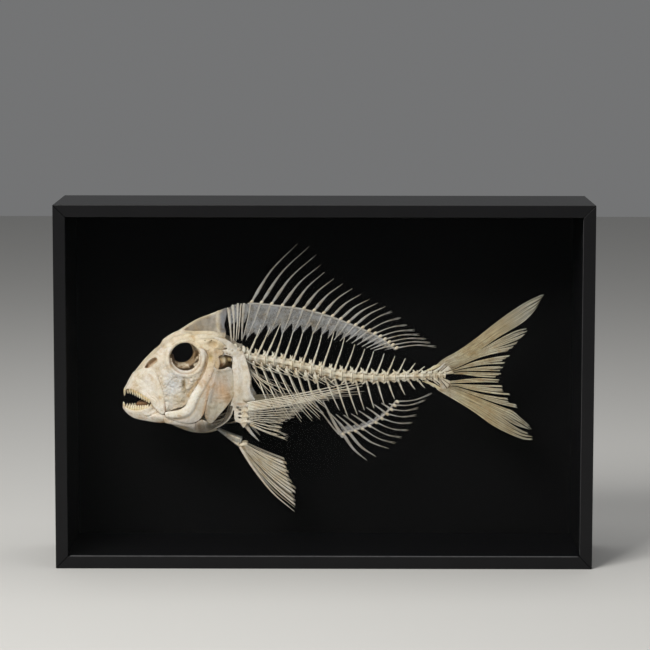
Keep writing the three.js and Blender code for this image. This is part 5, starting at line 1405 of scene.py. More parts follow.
rib_base_x, rib_mid_x, rib_tip_x = keys([[0, -67], [3, -44], [7, -9]]), keys([[0, -55], [3, -29], [7, -4.5]]), keys([[0, -45], [2, -21.5], [4, -4], [7, 4.5]])
rib_mid_z, rib_tip_z = keys([[0, 155], [5, 152], [7, 160]]), keys([[0, 137], [2, 131], [4, 133], [7, 150]])
RIB_COL = np.array([0.70, 0.67, 0.58])
ribs = Shape()
for k in range(8):
    x = float(rib_base_x(k))
    z, r, wide = float(col_z(x)), float(col_r(x)), 20 - 1.9 * k
    mx, mz, tx, tz = float(rib_mid_x(k)), float(rib_mid_z(k)), float(rib_tip_x(k)), float(rib_tip_z(k))
    ribs.join(rod([(x, -3.6, z - r * 0.4), (x + 2.6, -5.8, z - r - 6), (mx, -wide, mz), (tx, -wide * 0.62, tz)], [1.8, 1.2, 1.0, 0.4], [2.1, 1.35, 1.1, 0.45], 40, 9,
                  spine_paint(RIB_COL, RIB_COL * 0.97, 320 + k), 0.08, 30 + k))
    # side process that carries the rib, and the hollow under the centrum
    ribs.join(rod([(x - 0.6, -0.55 * r, z - 0.72 * r), (x + 0.4, -0.95 * r, z - r - 1.8), (x + 2.0, -1.1 * r, z - r - 4.2 - 0.35 * k)], [1.6, 1.5, 1.0], [3.4, 2.4, 1.5], 10, 8, V_COL, 0.12, 40 + k))
for i in range(4, 11):                 # crossing arches low on the last trunk vertebrae
    x, L = float(col_x(i)) - 1.0, float(col_x(i + 1) - col_x(i))
    z, r = float(col_z(x + L / 2)), float(col_r(x + L / 2))
    d = 2.2 + 0.75 * (i - 4)
    ribs.join(rod([(x + 0.66 * L, -0.55 * r, z - 0.70 * r), (x + 0.60 * L, -0.75 * r, z - r - 0.5 * d), (x + 0.36 * L, -0.50 * r, z - r - d), (x + 0.14 * L, -0.65 * r, z - r - 0.35 * d)], [1.2, 1.0, 1.0, 1.2], [2.0, 1.5, 1.5, 1.8], 14, 8, V_COL, 0.1, 50 + i))
for k in range(9):                     # fine bones between the muscles
    x = mix(-74, 2, k / 8)
    z, r = float(col_z(x)), float(col_r(x))
    reach_ = 22 - 0.7 * k
    ribs.join(rod([(x, -0.85 * r, z - 0.5 * r - 0.25 * k), (x + reach_ * 0.45, -8.0 + 0.3 * k, z - r - 2.6 - 0.35 * k), (x + reach_, -12.5 + 0.6 * k, z - r - 6.5 - 0.55 * k)], [0.9, 0.65, 0.3], [1.0, 0.7, 0.3], 14, 6,
                  spine_paint(RIB_COL, RIB_COL, 340 + k), 0.05, 60 + k))
for k in range(4):                     # slender bones fanning from the first vertebrae
    ribs.join(rod([(-75.5 + 1.6 * k, -4.2, 184.5 - 1.5 * k), (-66.0 + 3.4 * k, -13.0, 172.5 - 0.8 * k), (-52.0 + 7.0 * k, -17.0, 152.0 + 3.0 * k)], [1.1, 0.8, 0.35], [1.3, 0.85, 0.35], 26, 7,
                  spine_paint(RIB_COL, RIB_COL, 380 + k), 0.05, 80 + k))
for tag, flip in (("left", False), ("right", True)):
    make("rib_bones_" + tag, Shape().join(ribs, flip), "ribs_" + tag, M_BONE)

tail = Shape()
for i in range(11, 25):
    tail.join(vertebra(i, False))
T_COL = np.array([0.62, 0.565, 0.44])


def hypural(r0, r1, z0, z1, x0, x1, seed):
    def f(U, V):
        x = mix(108.6, mix(x0, x1, V), U)
        z = mix(mix(r0, r1, V), mix(z0, z1, V), U ** 1.1)
        return np.stack([x, 0 * x, z], -1)
    return plate(f, lambda U, V: mix(2.4, 1.7, U), 16, 10, 0.6, relief=lambda x, z: 0.28 * stripes(x, z, 104, 174, 16),
                 colour=lambda P: tint(toned(P, mix(WHITE_GREY, T_COL, 0.35), seed, 0.14, 0.3), TAIL_COL * 0.9, 0.7 * smooth(P[:, 0], 116, 123)))


TAIL_COL = np.array([0.54, 0.49, 0.335])
for q, (r0, r1, z0, z1, x0, x1) in enumerate([(174.4, 175.4, 176.0, 179.4, 123.4, 121.6), (175.6, 176.8, 179.6, 184.0, 121.4, 117.4), (177.0, 178.6, 184.2, 188.4, 117.0, 111.4),
                                               (173.2, 172.4, 168.6, 165.4, 119.6, 119.4), (172.2, 171.4, 165.1, 161.6, 119.2, 116.8), (171.2, 170.2, 161.3, 158.8, 116.4, 110.4)]):
    tail.join(hypural(r0, r1, z0, z1, x0, x1, 400 + q))
tail.join(rod([(105.0, 0, 175.0), (108.6, 0, 174.6), (111.6, 0, 174.2)], [4.4, 3.6, 1.6], [5.4, 5.0, 2.0], 14, 12, spine_paint(V_COL, V_COL, 411), 0.35, 3))
for s_ in (-1, 1):                     # splints along the rising end of the column
    tail.join(rod([(103.4, s_ * 1.9, 177.4), (108.6, s_ * 1.9, 180.8), (114.2, s_ * 1.7, 186.2)], [1.1, 1.0, 0.6], [2.4, 1.8, 0.9], 12, 9, spine_paint(V_COL, WHITE_GREY, 410), 0.15))
    tail.join(rod([(103.6, s_ * 1.9, 171.8), (108.6, s_ * 1.9, 167.8), (113.4, s_ * 1.7, 162.4)], [1.1, 1.0, 0.6], [2.2, 1.6, 0.9], 12, 9, spine_paint(V_COL, WHITE_GREY, 412), 0.15))
for k in range(3):                     # epurals
    tail.join(rod([(100 + 3.4 * k, 0, 179.4 + 1.2 * k), (102.6 + 3.5 * k, 0, 181.8 + 1.2 * k), (105.6 + 3.2 * k, 0, 183.8 + 0.7 * k)], [1.0, 1.2, 0.6], [1.6, 1.9, 0.9], 8, 8, spine_paint(V_COL, T_COL, 420 + k), 0.08))
make("spine_tail_bones", tail, "spine_tail", M_BONE)

# --------------------------------------------------------------------- throat
throat = Shape()
throat.join(plate(lambda U, V: np.stack([mix(-149.0, -101.0, U), 0 * U, mix(mix(134.0, 131.0, U), mix(129.0, 118.6, np.sin(U * 2.3)), V)], -1), 1.5, 40, 12, 0.6,
                  relief=lambda x, z: 0.15 * stripes(x, z, -150, 131, 14), colour=lambda P: toned(P, CREAM * 0.55, 430)))
for s in (-1, 1):
    throat.join(rod([(-147, s * 1.6, 133), (-136, s * 6, 136), (-126, s * 10, 139.8), (-116, s * 13, 144)], [3, 3.2, 2.8, 2.2], [4, 6.2, 7, 6], 20, 10, CREAM * 0.55, 0.15, 5))
    for k in range(5):
        throat.join(rod([(-139 + 4.4 * k, s * (5.4 + 1.5 * k), 134.6 + 1.4 * k), (-126 + 4.4 * k, s * (11.6 + 0.8 * k), 127.0 + 1.1 * k), (-106 + 3.6 * k, s * (15.0 + 0.2 * k), 126.6 + 2.4 * k)], [1.2, 1.1, 0.5], [1.5, 1.6, 0.8], 20, 8, CREAM * 0.50, 0.05, k))
make("throat_bones", throat, "throat", M_HEAD)

# -------------------------------------------------------------- pectoral fins
PEC = [(30, 172.6), (38.2, 171.4), (36, 168.4), (27, 165.2), (17, 161.8), (4, 157.8), (-8, 153.2), (-14, 148.8), (-19.5, 145.0), (-23.5, 141.6), (-28, 138.2), (-33, 135.4), (-38.5, 133.2),
       (-38.5, 128.2), (-40.5, 124.4), (-41.0, 120.4), (-34.4, 117.2)]
PEC_COL = np.array([0.74, 0.70, 0.59])
PEC_TIP = np.array([0.68, 0.645, 0.56])


def pectoral(drop, seed):
    s = Shape()
    for k in range(17):
        v = k / 16
        b = (-72.6 + 3.2 * v, -24.2 - 0.6 * math.sin(math.pi * v), 151.0 - 21.1 * v)
        tx = PEC[k][0]
        tip = (tx, -31.5 + 0.2 * k, PEC[k][1] - drop * (tx + 74) / 112)
        m = (mix(b[0], tip[0], 0.45), -29.5 + 0.17 * k, mix(b[2], tip[2], 0.45) - (0.9 if k < 6 else 0.1 * k - 0.6))
        # the middle rays (6 to 12) dimmed to 0.68: partly painted shade, partly their own grey-brown tone; the lowest
        # rays to 0.88
        tone = 1.0 if k < 6 else 0.68 if k < 13 else 0.88
        paint = spine_paint(PEC_COL * tone, PEC_TIP * tone, 440 + k)
        if k < 6:
            s.join(rod([b, m, tip], [2.0, 1.4, 1.1, 0.9, 0.45], [1.7, 0.95, 0.85, 0.8, 0.4], 44, 8, paint, 0.06, k))
            continue
        # stem, then two branches that part slowly, each forked again
        c = spline([b, m, tip])
        f = 0.50
        stem = [tuple(p) for p in c(np.array([0.0, 0.02, 0.2, f]))]
        s.join(rod(stem, [2.4, 1.6, 0.9, 0.7], [2.0, 1.15, 0.95, 0.8], 20, 8, paint, 0.06, k, groove=0.15))
        L = math.dist(b, tip)
        spread = 0.006 * L + 0.30
        for e in (-1, 1):
            pts = c(np.array([f - 0.02, 0.62, 0.76])) + np.array([[0, 0, 0.2 * e], [0, 0, e * spread * 0.45], [0, 0, e * spread * 0.75]])
            s.join(rod([tuple(p) for p in pts], [0.7, 0.6, 0.5], [0.6, 0.5, 0.45], 10, 6, paint, 0.03, k))
            for g in (-1, 1):
                cut = 1.0 - 0.03 * ((k * 7 + e * 3 + g) % 4)
                pts = c(np.array([0.75, 0.88, cut])) + np.array([[0, 0, e * spread * 0.74], [0, 0, e * spread * 0.95 + g * 0.2], [0, 0, e * spread * 1.2 + g * 0.4]])
                s.join(rod([tuple(p) for p in pts], [0.45, 0.4, 0.25], [0.45, 0.4, 0.25], 9, 6, paint, 0.02, k))
    return s


make("pectoral_rays_left", pectoral(0, 1), "pectoral_fin_left", M_FIN)
make("pectoral_rays_right", Shape().join(pectoral(17, 2), True), "pectoral_fin_right", M_FIN)

# ------------------------------------------------------- pelvis, pelvic fins
pelvis = Shape()
for s in (-1, 1):
    pelvis.join(plate(lambda U, V: np.stack([mix(-102.0, -79.0, U) + 1.6 * V, s * (1.0 + 4.4 * U), mix(122.8, 109.4, U) + (V - 0.5) * mix(2.0, 10.0, U ** 1.2)], -1), 1.5, 26, 12, 0.6, out=(0, s, 0),
                      relief=lambda x, z: 0.25 * stripes(x, z, -103, 124, 22) + 0.5 * bump(poly_dist(x, z, [(-102, 122.5), (-80, 111)])[0], 1.2),
                      colour=lambda P: toned(P, np.array([0.34, 0.355, 0.35]), 450, 0.12, 0.1)))
    pelvis.join(rod([(-100, s * 1.6, 121.6), (-90, s * 3.4, 117.6), (-79.5, s * 5.8, 113.6)], [1.8, 1.6, 1.8], [1.5, 1.6, 2.2], 14, 8, WHITE_GREY, 0.08))
    pelvis.join(rod([(-98, s * 1.4, 120.0), (-88, s * 3.6, 112.6), (-80, s * 5.4, 107.4)], [1.4, 1.6, 2.0], [1.2, 1.5, 2.4], 14, 8, WHITE_GREY, 0.08))
pelvis.join(rod([(-81.0, -6.2, 109.6), (-81.6, 0, 110.6), (-81.0, 6.2, 109.6)], [3.0, 2.4, 3.0], [3.0, 2.4, 3.0], 12, 9, CREAM * 0.9, 0.1))
make("pelvis_bones", pelvis, "pelvis", M_BONE)

PV_COL = np.array([0.60, 0.565, 0.48])
PV_TIP = np.array([0.54, 0.50, 0.42])
ptx, ptz = keys([[0, -27.8], [0.3, -26.6], [0.65, -32.5], [1, -38]]), keys([[0, 47.2], [0.3, 60], [0.65, 78], [1, 94]])


def pelvic_fan(U, V):
    bx, bz, b = mix(-79.6, -73.5, V), mix(107.0, 108.6, V), mix(3.0, 0.4, V) * np.sin(np.pi * U)
    return np.stack([mix(bx, ptx(V), U) - b * 0.8, -(6.2 + 4.5 * U + 1.5 * V), mix(bz, ptz(V), U) - b * 0.9], -1)


def pelvic(seed):
    s = Shape()
    for k in range(5):
        lo_ = 0.07 + 0.186 * k + 0.012 * math.sin(2.2 * k)
        hi_ = lo_ + (0.135, 0.150, 0.172, 0.150, 0.165)[k]
        for j in range(2):
            a_, b_ = lo_ + (hi_ - lo_) * 0.5 * j, lo_ + (hi_ - lo_) * (0.5 * j + 0.49)
            cut = 1.0 - 0.02 * ((k * 3 + j * 5) % 4)

            def f(U, V, a_=a_, b_=b_, cut=cut):
                m = 0.5 * (a_ + b_)
                g = mix(0.96, 0.74, U)
                return pelvic_fan(U * cut, m + (mix(a_, b_, V) - m) * g)
            s.join(plate(f, lambda U, V: mix(1.6, 0.5, U), 30, 8, 0.35,
                         relief=lambda x, z: 0.14 * noise(np.stack([(x * 0.62 + z * 0.78) * 1.6, 0 * x, (x * 0.78 - z * 0.62) * 0.07], -1), 1.0, 9),
                         colour=lambda P: tint(toned(P, PV_COL, 460 + k, 0.14, 0.35), PV_TIP, 0.7 * smooth(P[:, 2], 90, 55))))
    e = lambda t, v: tuple(float(q) for q in pelvic_fan(np.array(t), np.array(v)))
    s.join(rod([e(0, -0.03), e(0.3, -0.08), e(0.65, -0.09), e(1.0, -0.05)], [2.4, 1.9, 1.3, 0.35], [3.2, 2.3, 1.5, 0.4], 40, 10, spine_paint(WHITE_GREY, PV_COL, 470), 0.08, 3, groove=0.1))
    s.join(rod([(-80.6, -6.0, 107.2), (-76.5, -6.8, 108.6), (-72.4, -6.8, 109.4)], [3.0, 3.2, 2.2], [3.4, 3.8, 2.6], 12, 9, CREAM * 0.9, 0.15, 4))
    return s


for tag, flip in (("left", False), ("right", True)):
    make("pelvic_rays_" + tag, Shape().join(pelvic(1), flip), "pelvic_fin_" + tag, M_TAIL)

# ----------------------------------------------------------------- dorsal fin
d_base, d_ridge = keys([[1, -68.5], [3, -49.8], [6, -19], [9, 7.8], [12, 29.7], [15, 47.9], [17, 57.2], [20, 68.2]]), keys([[-76, 243.2], [-67.4, 244.5], [-49.8, 242.3], [-19, 238.4], [7.8, 231], [23.4, 225.1], [42, 217.3], [57, 209], [68.2, 200.6]])
d_dx, d_dz = keys([[1, 43], [2, 44.8], [4, 36.5], [5, 29], [8, 27], [12, 28], [16, 32.8], [20, 38]]), keys([[1, 54.4], [2, 52.6], [4, 38.2], [6, 27.5], [8, 23], [10, 18.5], [12, 17], [13, 15.5], [15, 8], [17, 4], [20, 0.8]])
r_dx = keys([[1, 8.7], [2, 14.6], [3, 13.9], [4, 14.3], [5, 11.4], [6, 12.0], [8, 11.2], [9, 11.5], [12, 15], [16, 17.5], [20, 18]])
r_dz = keys([[1, 36.3], [2, 36.2], [3, 33], [4, 30.6], [5, 28.3], [6, 26.7], [7, 23.4], [8, 22], [9, 20.4], [11, 17.8], [13, 14], [16, 10.2], [20, 4]])
# Dorsal and anal fin greys, D_TIP for the tips: dimmed below the bone's own grey, partly as painted shade for the
# shadow the case's top casts over the dorsal fin
D_COL = np.array([0.405, 0.40, 0.385])
D_TIP = np.array([0.32, 0.31, 0.285])
WEB_COL = np.array([0.36, 0.372, 0.385])


def ray(base, bow, tip, w, h, seed, soft, col0, col1):
    """A spine, or a soft ray that forks twice towards its tip."""
    s = Shape()
    paint = spine_paint(col0, col1, seed)
    if not soft:
        s.join(rod([base, bow, tip], w, h, 36, 9, paint, 0.10, seed, groove=0.12))
        return s
    c = spline([base, bow, tip])
    s.join(rod([tuple(p) for p in c(np.array([0, 0.15, 0.32, 0.5]))], [w[0], w[0] * 0.9, w[1], w[1] * 0.85], [h[0], h[0] * 0.8, h[1], h[1] * 0.95], 16, 8, paint, 0.06, seed, groove=0.12))
    T = np.array(tip) - np.array(base)
    L = np.linalg.norm(T)
    T /= L
    B = np.cross(T, (0, 1, 0))
    for e in (-1, 1):
        pts = c(np.array([0.48, 0.62, 0.78])) + np.outer([0.18, 0.4, 0.5], B) * e * 0.8
        s.join(rod([tuple(p) for p in pts], [0.7, 0.6, 0.5], [0.6, 0.55, 0.5], 9, 6, paint, 0.03, seed))
        for g in (-1, 1):
            cut = 1.0 - 0.035 * ((seed * 5 + e * 3 + g) % 4)
            pts = c(np.array([0.76, 0.88, cut])) + np.outer([0.5 * e, 0.6 * e + 0.12 * g, 0.7 * e + 0.28 * g], B) * 0.8
            s.join(rod([tuple(p) for p in pts], [0.45, 0.4, 0.25], [0.42, 0.38, 0.25], 8, 6, paint, 0.02, seed))
    return s


dorsal = Shape()
for k in range(1, 21):
    x = float(d_base(k))
    z, dx, dz = float(d_ridge(x)), float(d_dx(k)), float(d_dz(k))
    b = 0.052
    soft = k > 12
    dorsal.join(ray((x, 0, z - 0.4), (x + dx * 0.5 - b * dz, 0, z + dz * 0.5 + b * dx), (x + dx, 0, z + dz),
                    [1.7, 1.6, 1.3, 1.0, 0.8, 0.6, 0.35], [1.7, 3.0 if k < 9 else 2.4, 2.1, 1.45, 1.1, 0.8, 0.35] if not soft else [1.6, 1.0, 0.8], 500 + k, soft, D_COL, D_TIP))
    # joint knob and the bone that carries the ray
    dorsal.join(rod([(x - 1.6, 0, z - 1.4), (x + 0.3, 0, z - 0.1), (x + 1.5, 0, z + 1.3)], [2.2, 3.0, 2.0], [2.2, 3.0, 1.8], 8, 10, spine_paint(CREAM * 0.9, CREAM * 0.8, 520 + k), 0.12, k))
    if k < 20:
        rx, rz = float(r_dx(k)), float(r_dz(k))
        dorsal.join(rod([(x - 0.8, 0, z - 1.0), (x - rx * 0.45 + 0.4, 0, z - rz * 0.45), (x - rx, 0, z - rz)], [1.8, 1.1, 0.5], [2.1, 1.35, 0.7], 24, 9, spine_paint(D_COL * 1.08, D_COL, 540 + k), 0.12, k, groove=0.1))
ridge_pts = [(float(d_base(k)) - 1.2, 0, float(d_ridge(d_base(k))) - 1.7) for k in np.linspace(0.7, 20.2, 12)]
dorsal.join(rod(ridge_pts, 1.7, [2.0, 2.2, 2.0, 1.6], 90, 9, spine_paint(D_COL, D_COL * 0.95, 560), 0.15, 1))
dorsal.join(rod([(-75.6, 0, 242.8), (-77.2, 0, 226), (-78.0, 0, 207)], [1.9, 1.5, 0.7], [3.2, 2.4, 0.9], 22, 9, spine_paint(D_COL * 1.1, D_COL, 561), 0.1))
make("dorsal_fin_bones", dorsal, "dorsal_fin", M_FIN)


def lamina(k):
    """Thin bone between two carriers; its lower edge is a tooth, deeper in front."""
    xa, xb = float(d_base(k)), float(d_base(k + 1))
    za, zb = float(d_ridge(xa)), float(d_ridge(xb))
    ra, rb = (float(r_dx(k)), float(r_dz(k))), (float(r_dx(k + 1)), float(r_dz(k + 1)))
    foot = 0.98 if k < 11 else mix(0.96, 0.72, (k - 11) / 8)
    peak = (0.84 if k < 3 else 0.60 if k < 10 else mix(0.58, 0.34, (k - 10) / 9)) + 0.03 * math.sin(k * 2.3)
    mid_u = 0.42 + 0.06 * math.sin(k * 1.7)

    def f(U, V):
        e = np.where(U < mid_u, 1 - U / mid_u, (U - mid_u) / (1 - mid_u))
        notch = peak + (foot - peak) * e ** 1.25
        d = mix(0.03, notch, V)
        bow = 0.4 * np.sin(np.pi * d)
        x = mix(xa - ra[0] * d + bow, xb - rb[0] * d + bow, U)
        z = mix(za - ra[1] * d, zb - rb[1] * d, U)
        return np.stack([x, 0.22 * np.sin(9 * U + k) * np.sin(3.0 * V), z], -1)

    def paint(P):
        C = toned(P, WEB_COL, 580 + k, 0.12, 0.10)
        return C * (1 + 0.12 * noise(np.stack([P[:, 0] * 1.0 + P[:, 2] * 0.3, 0 * P[:, 0], P[:, 2] * 0.12], -1), 1.0, 3))[:, None]
    return plate(f, 0.42, 26, 22, 0.4, relief=lambda x, z: 0.06 * noise(np.stack([x, 0 * x, z * 0.2], -1), 0.9, 4), colour=paint)


webs = Shape()
for k in range(1, 20):
    webs.join(lamina(k))
webs.join(plate(lambda U, V: np.stack([mix(-76.6 - 0.9 * V, -68.8 - 6.4 * V, U), 0 * U, mix(241.6 - 17 * V, 242.6 - 19 * V, U)], -1), 0.42, 12, 16, 0.5, colour=WEB_COL))
for q in range(3):                     # skin-thin bone between the predorsals
    (a, _), (b, _) = PREDORSAL[q], PREDORSAL[q + 1]
    ca, cb = spline([(p[0], 0, p[1]) for p in a]), spline([(p[0], 0, p[1]) for p in b])
    webs.join(plate(lambda U, V, ca=ca, cb=cb: mix(ca(0.06 + 0.62 * V + 0 * U), cb(0.06 + 0.62 * V + 0 * U), (0.14 + 0.72 * U)[..., None]), 0.4, 8, 22, 0.4, colour=WEB_COL * 0.9))
make("dorsal_webs", webs, None, M_WEB)

# ------------------------------------------------------------------- anal fin
a_ridge = keys([[16.2, 116.7], [28.8, 120.2], [41.5, 124.5], [53.4, 131.4], [62.7, 139.9], [68.6, 147.7]])
a_base = keys([[1, 18], [2, 23.4], [3, 29.7], [6, 49.2], [9, 63.7], [11, 69.2]])
a_dx, a_dz = keys([[1, 22.6], [2, 26], [3, 31.8], [6, 31.3], [8, 27.9], [9, 26.5], [11, 34]]), keys([[1, -24.6], [2, -22.6], [3, -16.6], [5, -10.8], [7, -3.5], [9, 2.2], [11, 9]])


def anal_radial(k):
    x = float(a_base(k))
    return (x, float(a_ridge(x))), (mix(4, 54, (k - 2) / 7), 140 - 5 * math.sin(math.pi * (k - 1.5) / 5) + 0.3 * k)


anal = Shape()
for k in range(1, 12):
    x = float(a_base(k))
    z, dx, dz = float(a_ridge(x)), float(a_dx(k)), float(a_dz(k))
    soft = k > 3
    anal.join(ray((x, 0, z + 0.6), (x + dx * 0.5 - 0.05 * abs(dz), 0, z + dz * 0.5 - 0.07 * dx), (x + dx, 0, z + dz),
                  [1.8, 1.5, 0.4], ([3.2, 2.2, 0.5] if k < 3 else [2.4, 1.5, 0.45]) if not soft else [1.6, 1.0, 0.8], 600 + k, soft, D_COL, D_TIP))
    anal.join(rod([(x - 1.8, 0, z + 1.4), (x + 0.2, 0, z + 0.3), (x + 1.6, 0, z - 1.0)], [2.2, 3.0, 2.0], [2.2, 3.0, 1.8], 8, 10, spine_paint(CREAM * 0.9, CREAM * 0.8, 620 + k), 0.12, k))
    if 2 <= k <= 10:
        p, q = anal_radial(k)
        anal.join(rod([(p[0], 0, p[1]), (mix(p[0], q[0], 0.5) + 0.5, 0, mix(p[1], q[1], 0.5)), (q[0], 0, q[1])], [1.8, 1.2, 0.5], [2.4, 1.7, 0.7], 18, 8, spine_paint(D_COL * 1.05, D_COL, 640 + k), 0.1, k))
anal.join(rod([(18.4, 0, 114.6), (12.4, 0, 123.6), (5.6, 0, 136), (-1.6, 0, 150.4)], [2.6, 2.0, 1.4, 0.7], [4.4, 3.0, 2.2, 0.9], 34, 12, spine_paint(D_COL * 1.12, D_COL, 660), 0.16, 2, groove=0.3))
anal.join(rod([(14.4, 0, 117.2), (6.6, 0, 126.4), (-2.6, 0, 139.0), (-10.8, 0, 150.8)], [1.6, 1.3, 1.0, 0.5], [1.6, 1.5, 1.2, 0.6], 30, 9, spine_paint(D_COL * 1.1, D_COL, 662), 0.12, 4))
anal.join(rod([(float(a_base(k)) - 1.0, 0, float(a_ridge(a_base(k))) + 1.4) for k in np.linspace(0.6, 11.0, 8)], 1.8, [2.6, 2.2, 1.8], 40, 9, spine_paint(D_COL, D_COL, 661), 0.15, 3))
make("anal_fin_bones", anal, "anal_fin", M_FIN)
webs = Shape()
for k in range(2, 10):
    (pa, qa), (pb, qb) = anal_radial(k), anal_radial(k + 1)
    deep_a, deep_b = 0.30 - 0.015 * k, 0.42 - 0.02 * k

    def f(U, V, pa=pa, qa=qa, pb=pb, qb=qb, da=deep_a, db=deep_b):
        d = mix(0.04, mix(da, db, U), V)
        x = mix(mix(pa[0], qa[0], d), mix(pb[0], qb[0], d), U)
        z = mix(mix(pa[1], qa[1], d), mix(pb[1], qb[1], d), U)
        return np.stack([x, 0 * x, z], -1)
    webs.join(plate(f, 0.42, 12, 14, 0.5, colour=lambda P: toned(P, WEB_COL, 670 + k, 0.12, 0.1)))
# sheet behind the first, thick carrier
webs.join(plate(lambda U, V: np.stack([mix(mix(19.0, 7.0, V), mix(22.5, 9.0, V), U), 0 * U, mix(mix(118.5, 137, V), mix(119.2, 135.5, V), U)], -1), 0.45, 12, 20, 0.5, colour=WEB_COL))
make("anal_webs", webs, None, M_WEB)

# ------------------------------------------------------------------- tail fin
TAIL_TIP = np.array([0.40, 0.395, 0.335])


def blade(upper, lower, n, seed, outer=False, fray=0.0):
    """One bundle of rays between two edges, made of n strips that part at their tips."""
    cu, cl = spline([(p[0], 0, p[1]) for p in upper]), spline([(p[0], 0, p[1]) for p in lower])
    s = Shape()
    for j in range(n):
        a_, b_ = (j + 0.03) / n, (j + 0.97) / n
        at = (j + 0.5) / n
        cut = 1.0 - (0.015 if outer else 0.022) * ((j * 7 + seed) % 4) - (fray * (1 - at) if fray > 0 else -fray * at)

        def f(U, V, a_=a_, b_=b_, cut=cut, j=j):
            g = 1 - (0.20 if outer else 0.14) * smooth(U, 0.60, 1.0) - 0.10 * np.sin(3.1 * j + seed) ** 2 * smooth(U, 0.35, 0.8)
            m = 0.5 * (a_ + b_)
            v = (m + (mix(a_, b_, V) - m) * g)[..., None]
            P = cl(U * cut) * (1 - v) + cu(U * cut) * v
            P[..., 1] = 0.16 * np.sin(5 * U + 1.3 * j + seed)
            P[..., 2] += 0.5 * np.sin(2.7 * j + seed) * smooth(U, 0.70, 1.0)
            return P
        s.join(plate(f, lambda U, V: mix(3.0, 0.5, U ** 0.6), 48, 9, 0.35, relief=lambda x, z: 0.30 * noise(np.stack([x * 0.10, 0 * x, (z - 174 - (x - 110) * (z - 174) / (abs(x - 110) + 30)) * 3.2], -1), 1.0, seed + 5),
                     colour=tail_paint(seed * 7 + j, outer)))
    return s


def tail_paint(seed, outer):
    tone = 1 + 0.10 * math.sin(seed * 2.7)

    def f(P):
        root = smooth(P[:, 0], 131, 119)[:, None]
        k = smooth(P[:, 0], 135, 190)[:, None]
        c = TAIL_COL + (TAIL_TIP - TAIL_COL) * k
        c = c + (np.array([0.54, 0.50, 0.385]) - c) * root * 0.8
        if outer:
            c = c + (np.array([0.46, 0.375, 0.20]) - c) * (0.50 * np.exp(-((P[:, 0] - 158) / 24) ** 2))[:, None]
        w = (P[:, 2] - 174) / (P[:, 0] - 88)
        c = c * tone * (1 + 0.22 * fbm(P * np.array([0.18, 1, 1]), 1.3, seed) + 0.30 * noise(np.stack([P[:, 0] * 0.05, 0 * w, w * 90], -1), 1.0, seed + 2))[:, None]
        s = np.clip(fbm(P, 8, seed + 7) * 1.6, 0, 1)[:, None] * 0.35
        return c + (BROWN * 1.8 - c) * s * (1 - k)
    return f


UP = [([(106.5, 184.6), (113.5, 190.4), (126.3, 197.6), (142, 208.6), (157.7, 221.3), (173.5, 233.2), (189.2, 243.6), (201.8, 249.9), (207.4, 251.4)],
       [(117.5, 182.4), (127, 186.6), (137, 192.0), (147.5, 198.7), (164, 210.2), (173.5, 216.0), (182.9, 221.4), (190, 226.6), (196, 232.4), (202.0, 240.4)], 10, True),
      ([(116.8, 182.2), (127, 187.2), (137, 192.6), (147.5, 198.7), (164, 208.4), (173.5, 213.6), (182.9, 217.6), (195.5, 220.2)],
       [(119.4, 180.8), (128, 184.6), (145.2, 192.6), (160.1, 199.6), (173.5, 204.4), (184.0, 208.4), (189.5, 212.6)], 5, False),
      ([(119.8, 180.6), (128, 184.8), (145.2, 192.9), (160.1, 199.6), (173.5, 203.4), (184.5, 207.0)],
       [(120.6, 179.4), (129, 183.2), (142, 189.2), (153, 193.0), (165.6, 195.6), (179.0, 197.4)], 3, False),
      ([(120.8, 179.0), (129, 182.2), (142, 187.2), (153, 190.0), (165.6, 192.6), (177.2, 194.2)],
       [(121.6, 178.2), (130, 180.6), (142, 182.9), (154.6, 184.6), (171.9, 185.6)], 4, False),
      ([(121.8, 177.8), (130, 179.8), (142, 181.6), (154.6, 183.0), (171.6, 184.0)],
       [(122.2, 177.2), (131, 178.4), (146.7, 178.5), (158, 178.4), (167.8, 178.6)], 3, False),
      ([(122.4, 176.6), (131, 177.6), (146.7, 177.2), (158, 177.0), (167.5, 177.0)],
       [(122.6, 175.4), (131, 175.2), (138, 174.1), (148, 172.8), (167.2, 172.0)], 3, False)]
up = Shape()
for q, (a, b, n, o) in enumerate(UP):
    up.join(blade(a, b, n, 1 + q, o, 0.03))
for k in range(5):                     # small spikes in front of the lobe
    up.join(rod([(119.5 - 2.6 * k, 0, 189.4 - 1.6 * k), (113 - 3.2 * k, 0, 187.4 - 2.0 * k), (106.5 - 3.2 * k, 0, 183.2 - 1.3 * k)], [1.5, 1.3, 0.4], [2.0, 1.7, 0.5], 12, 8, spine_paint(TAIL_COL * 1.2, TAIL_COL * 1.3, 700 + k), 0.08, k))
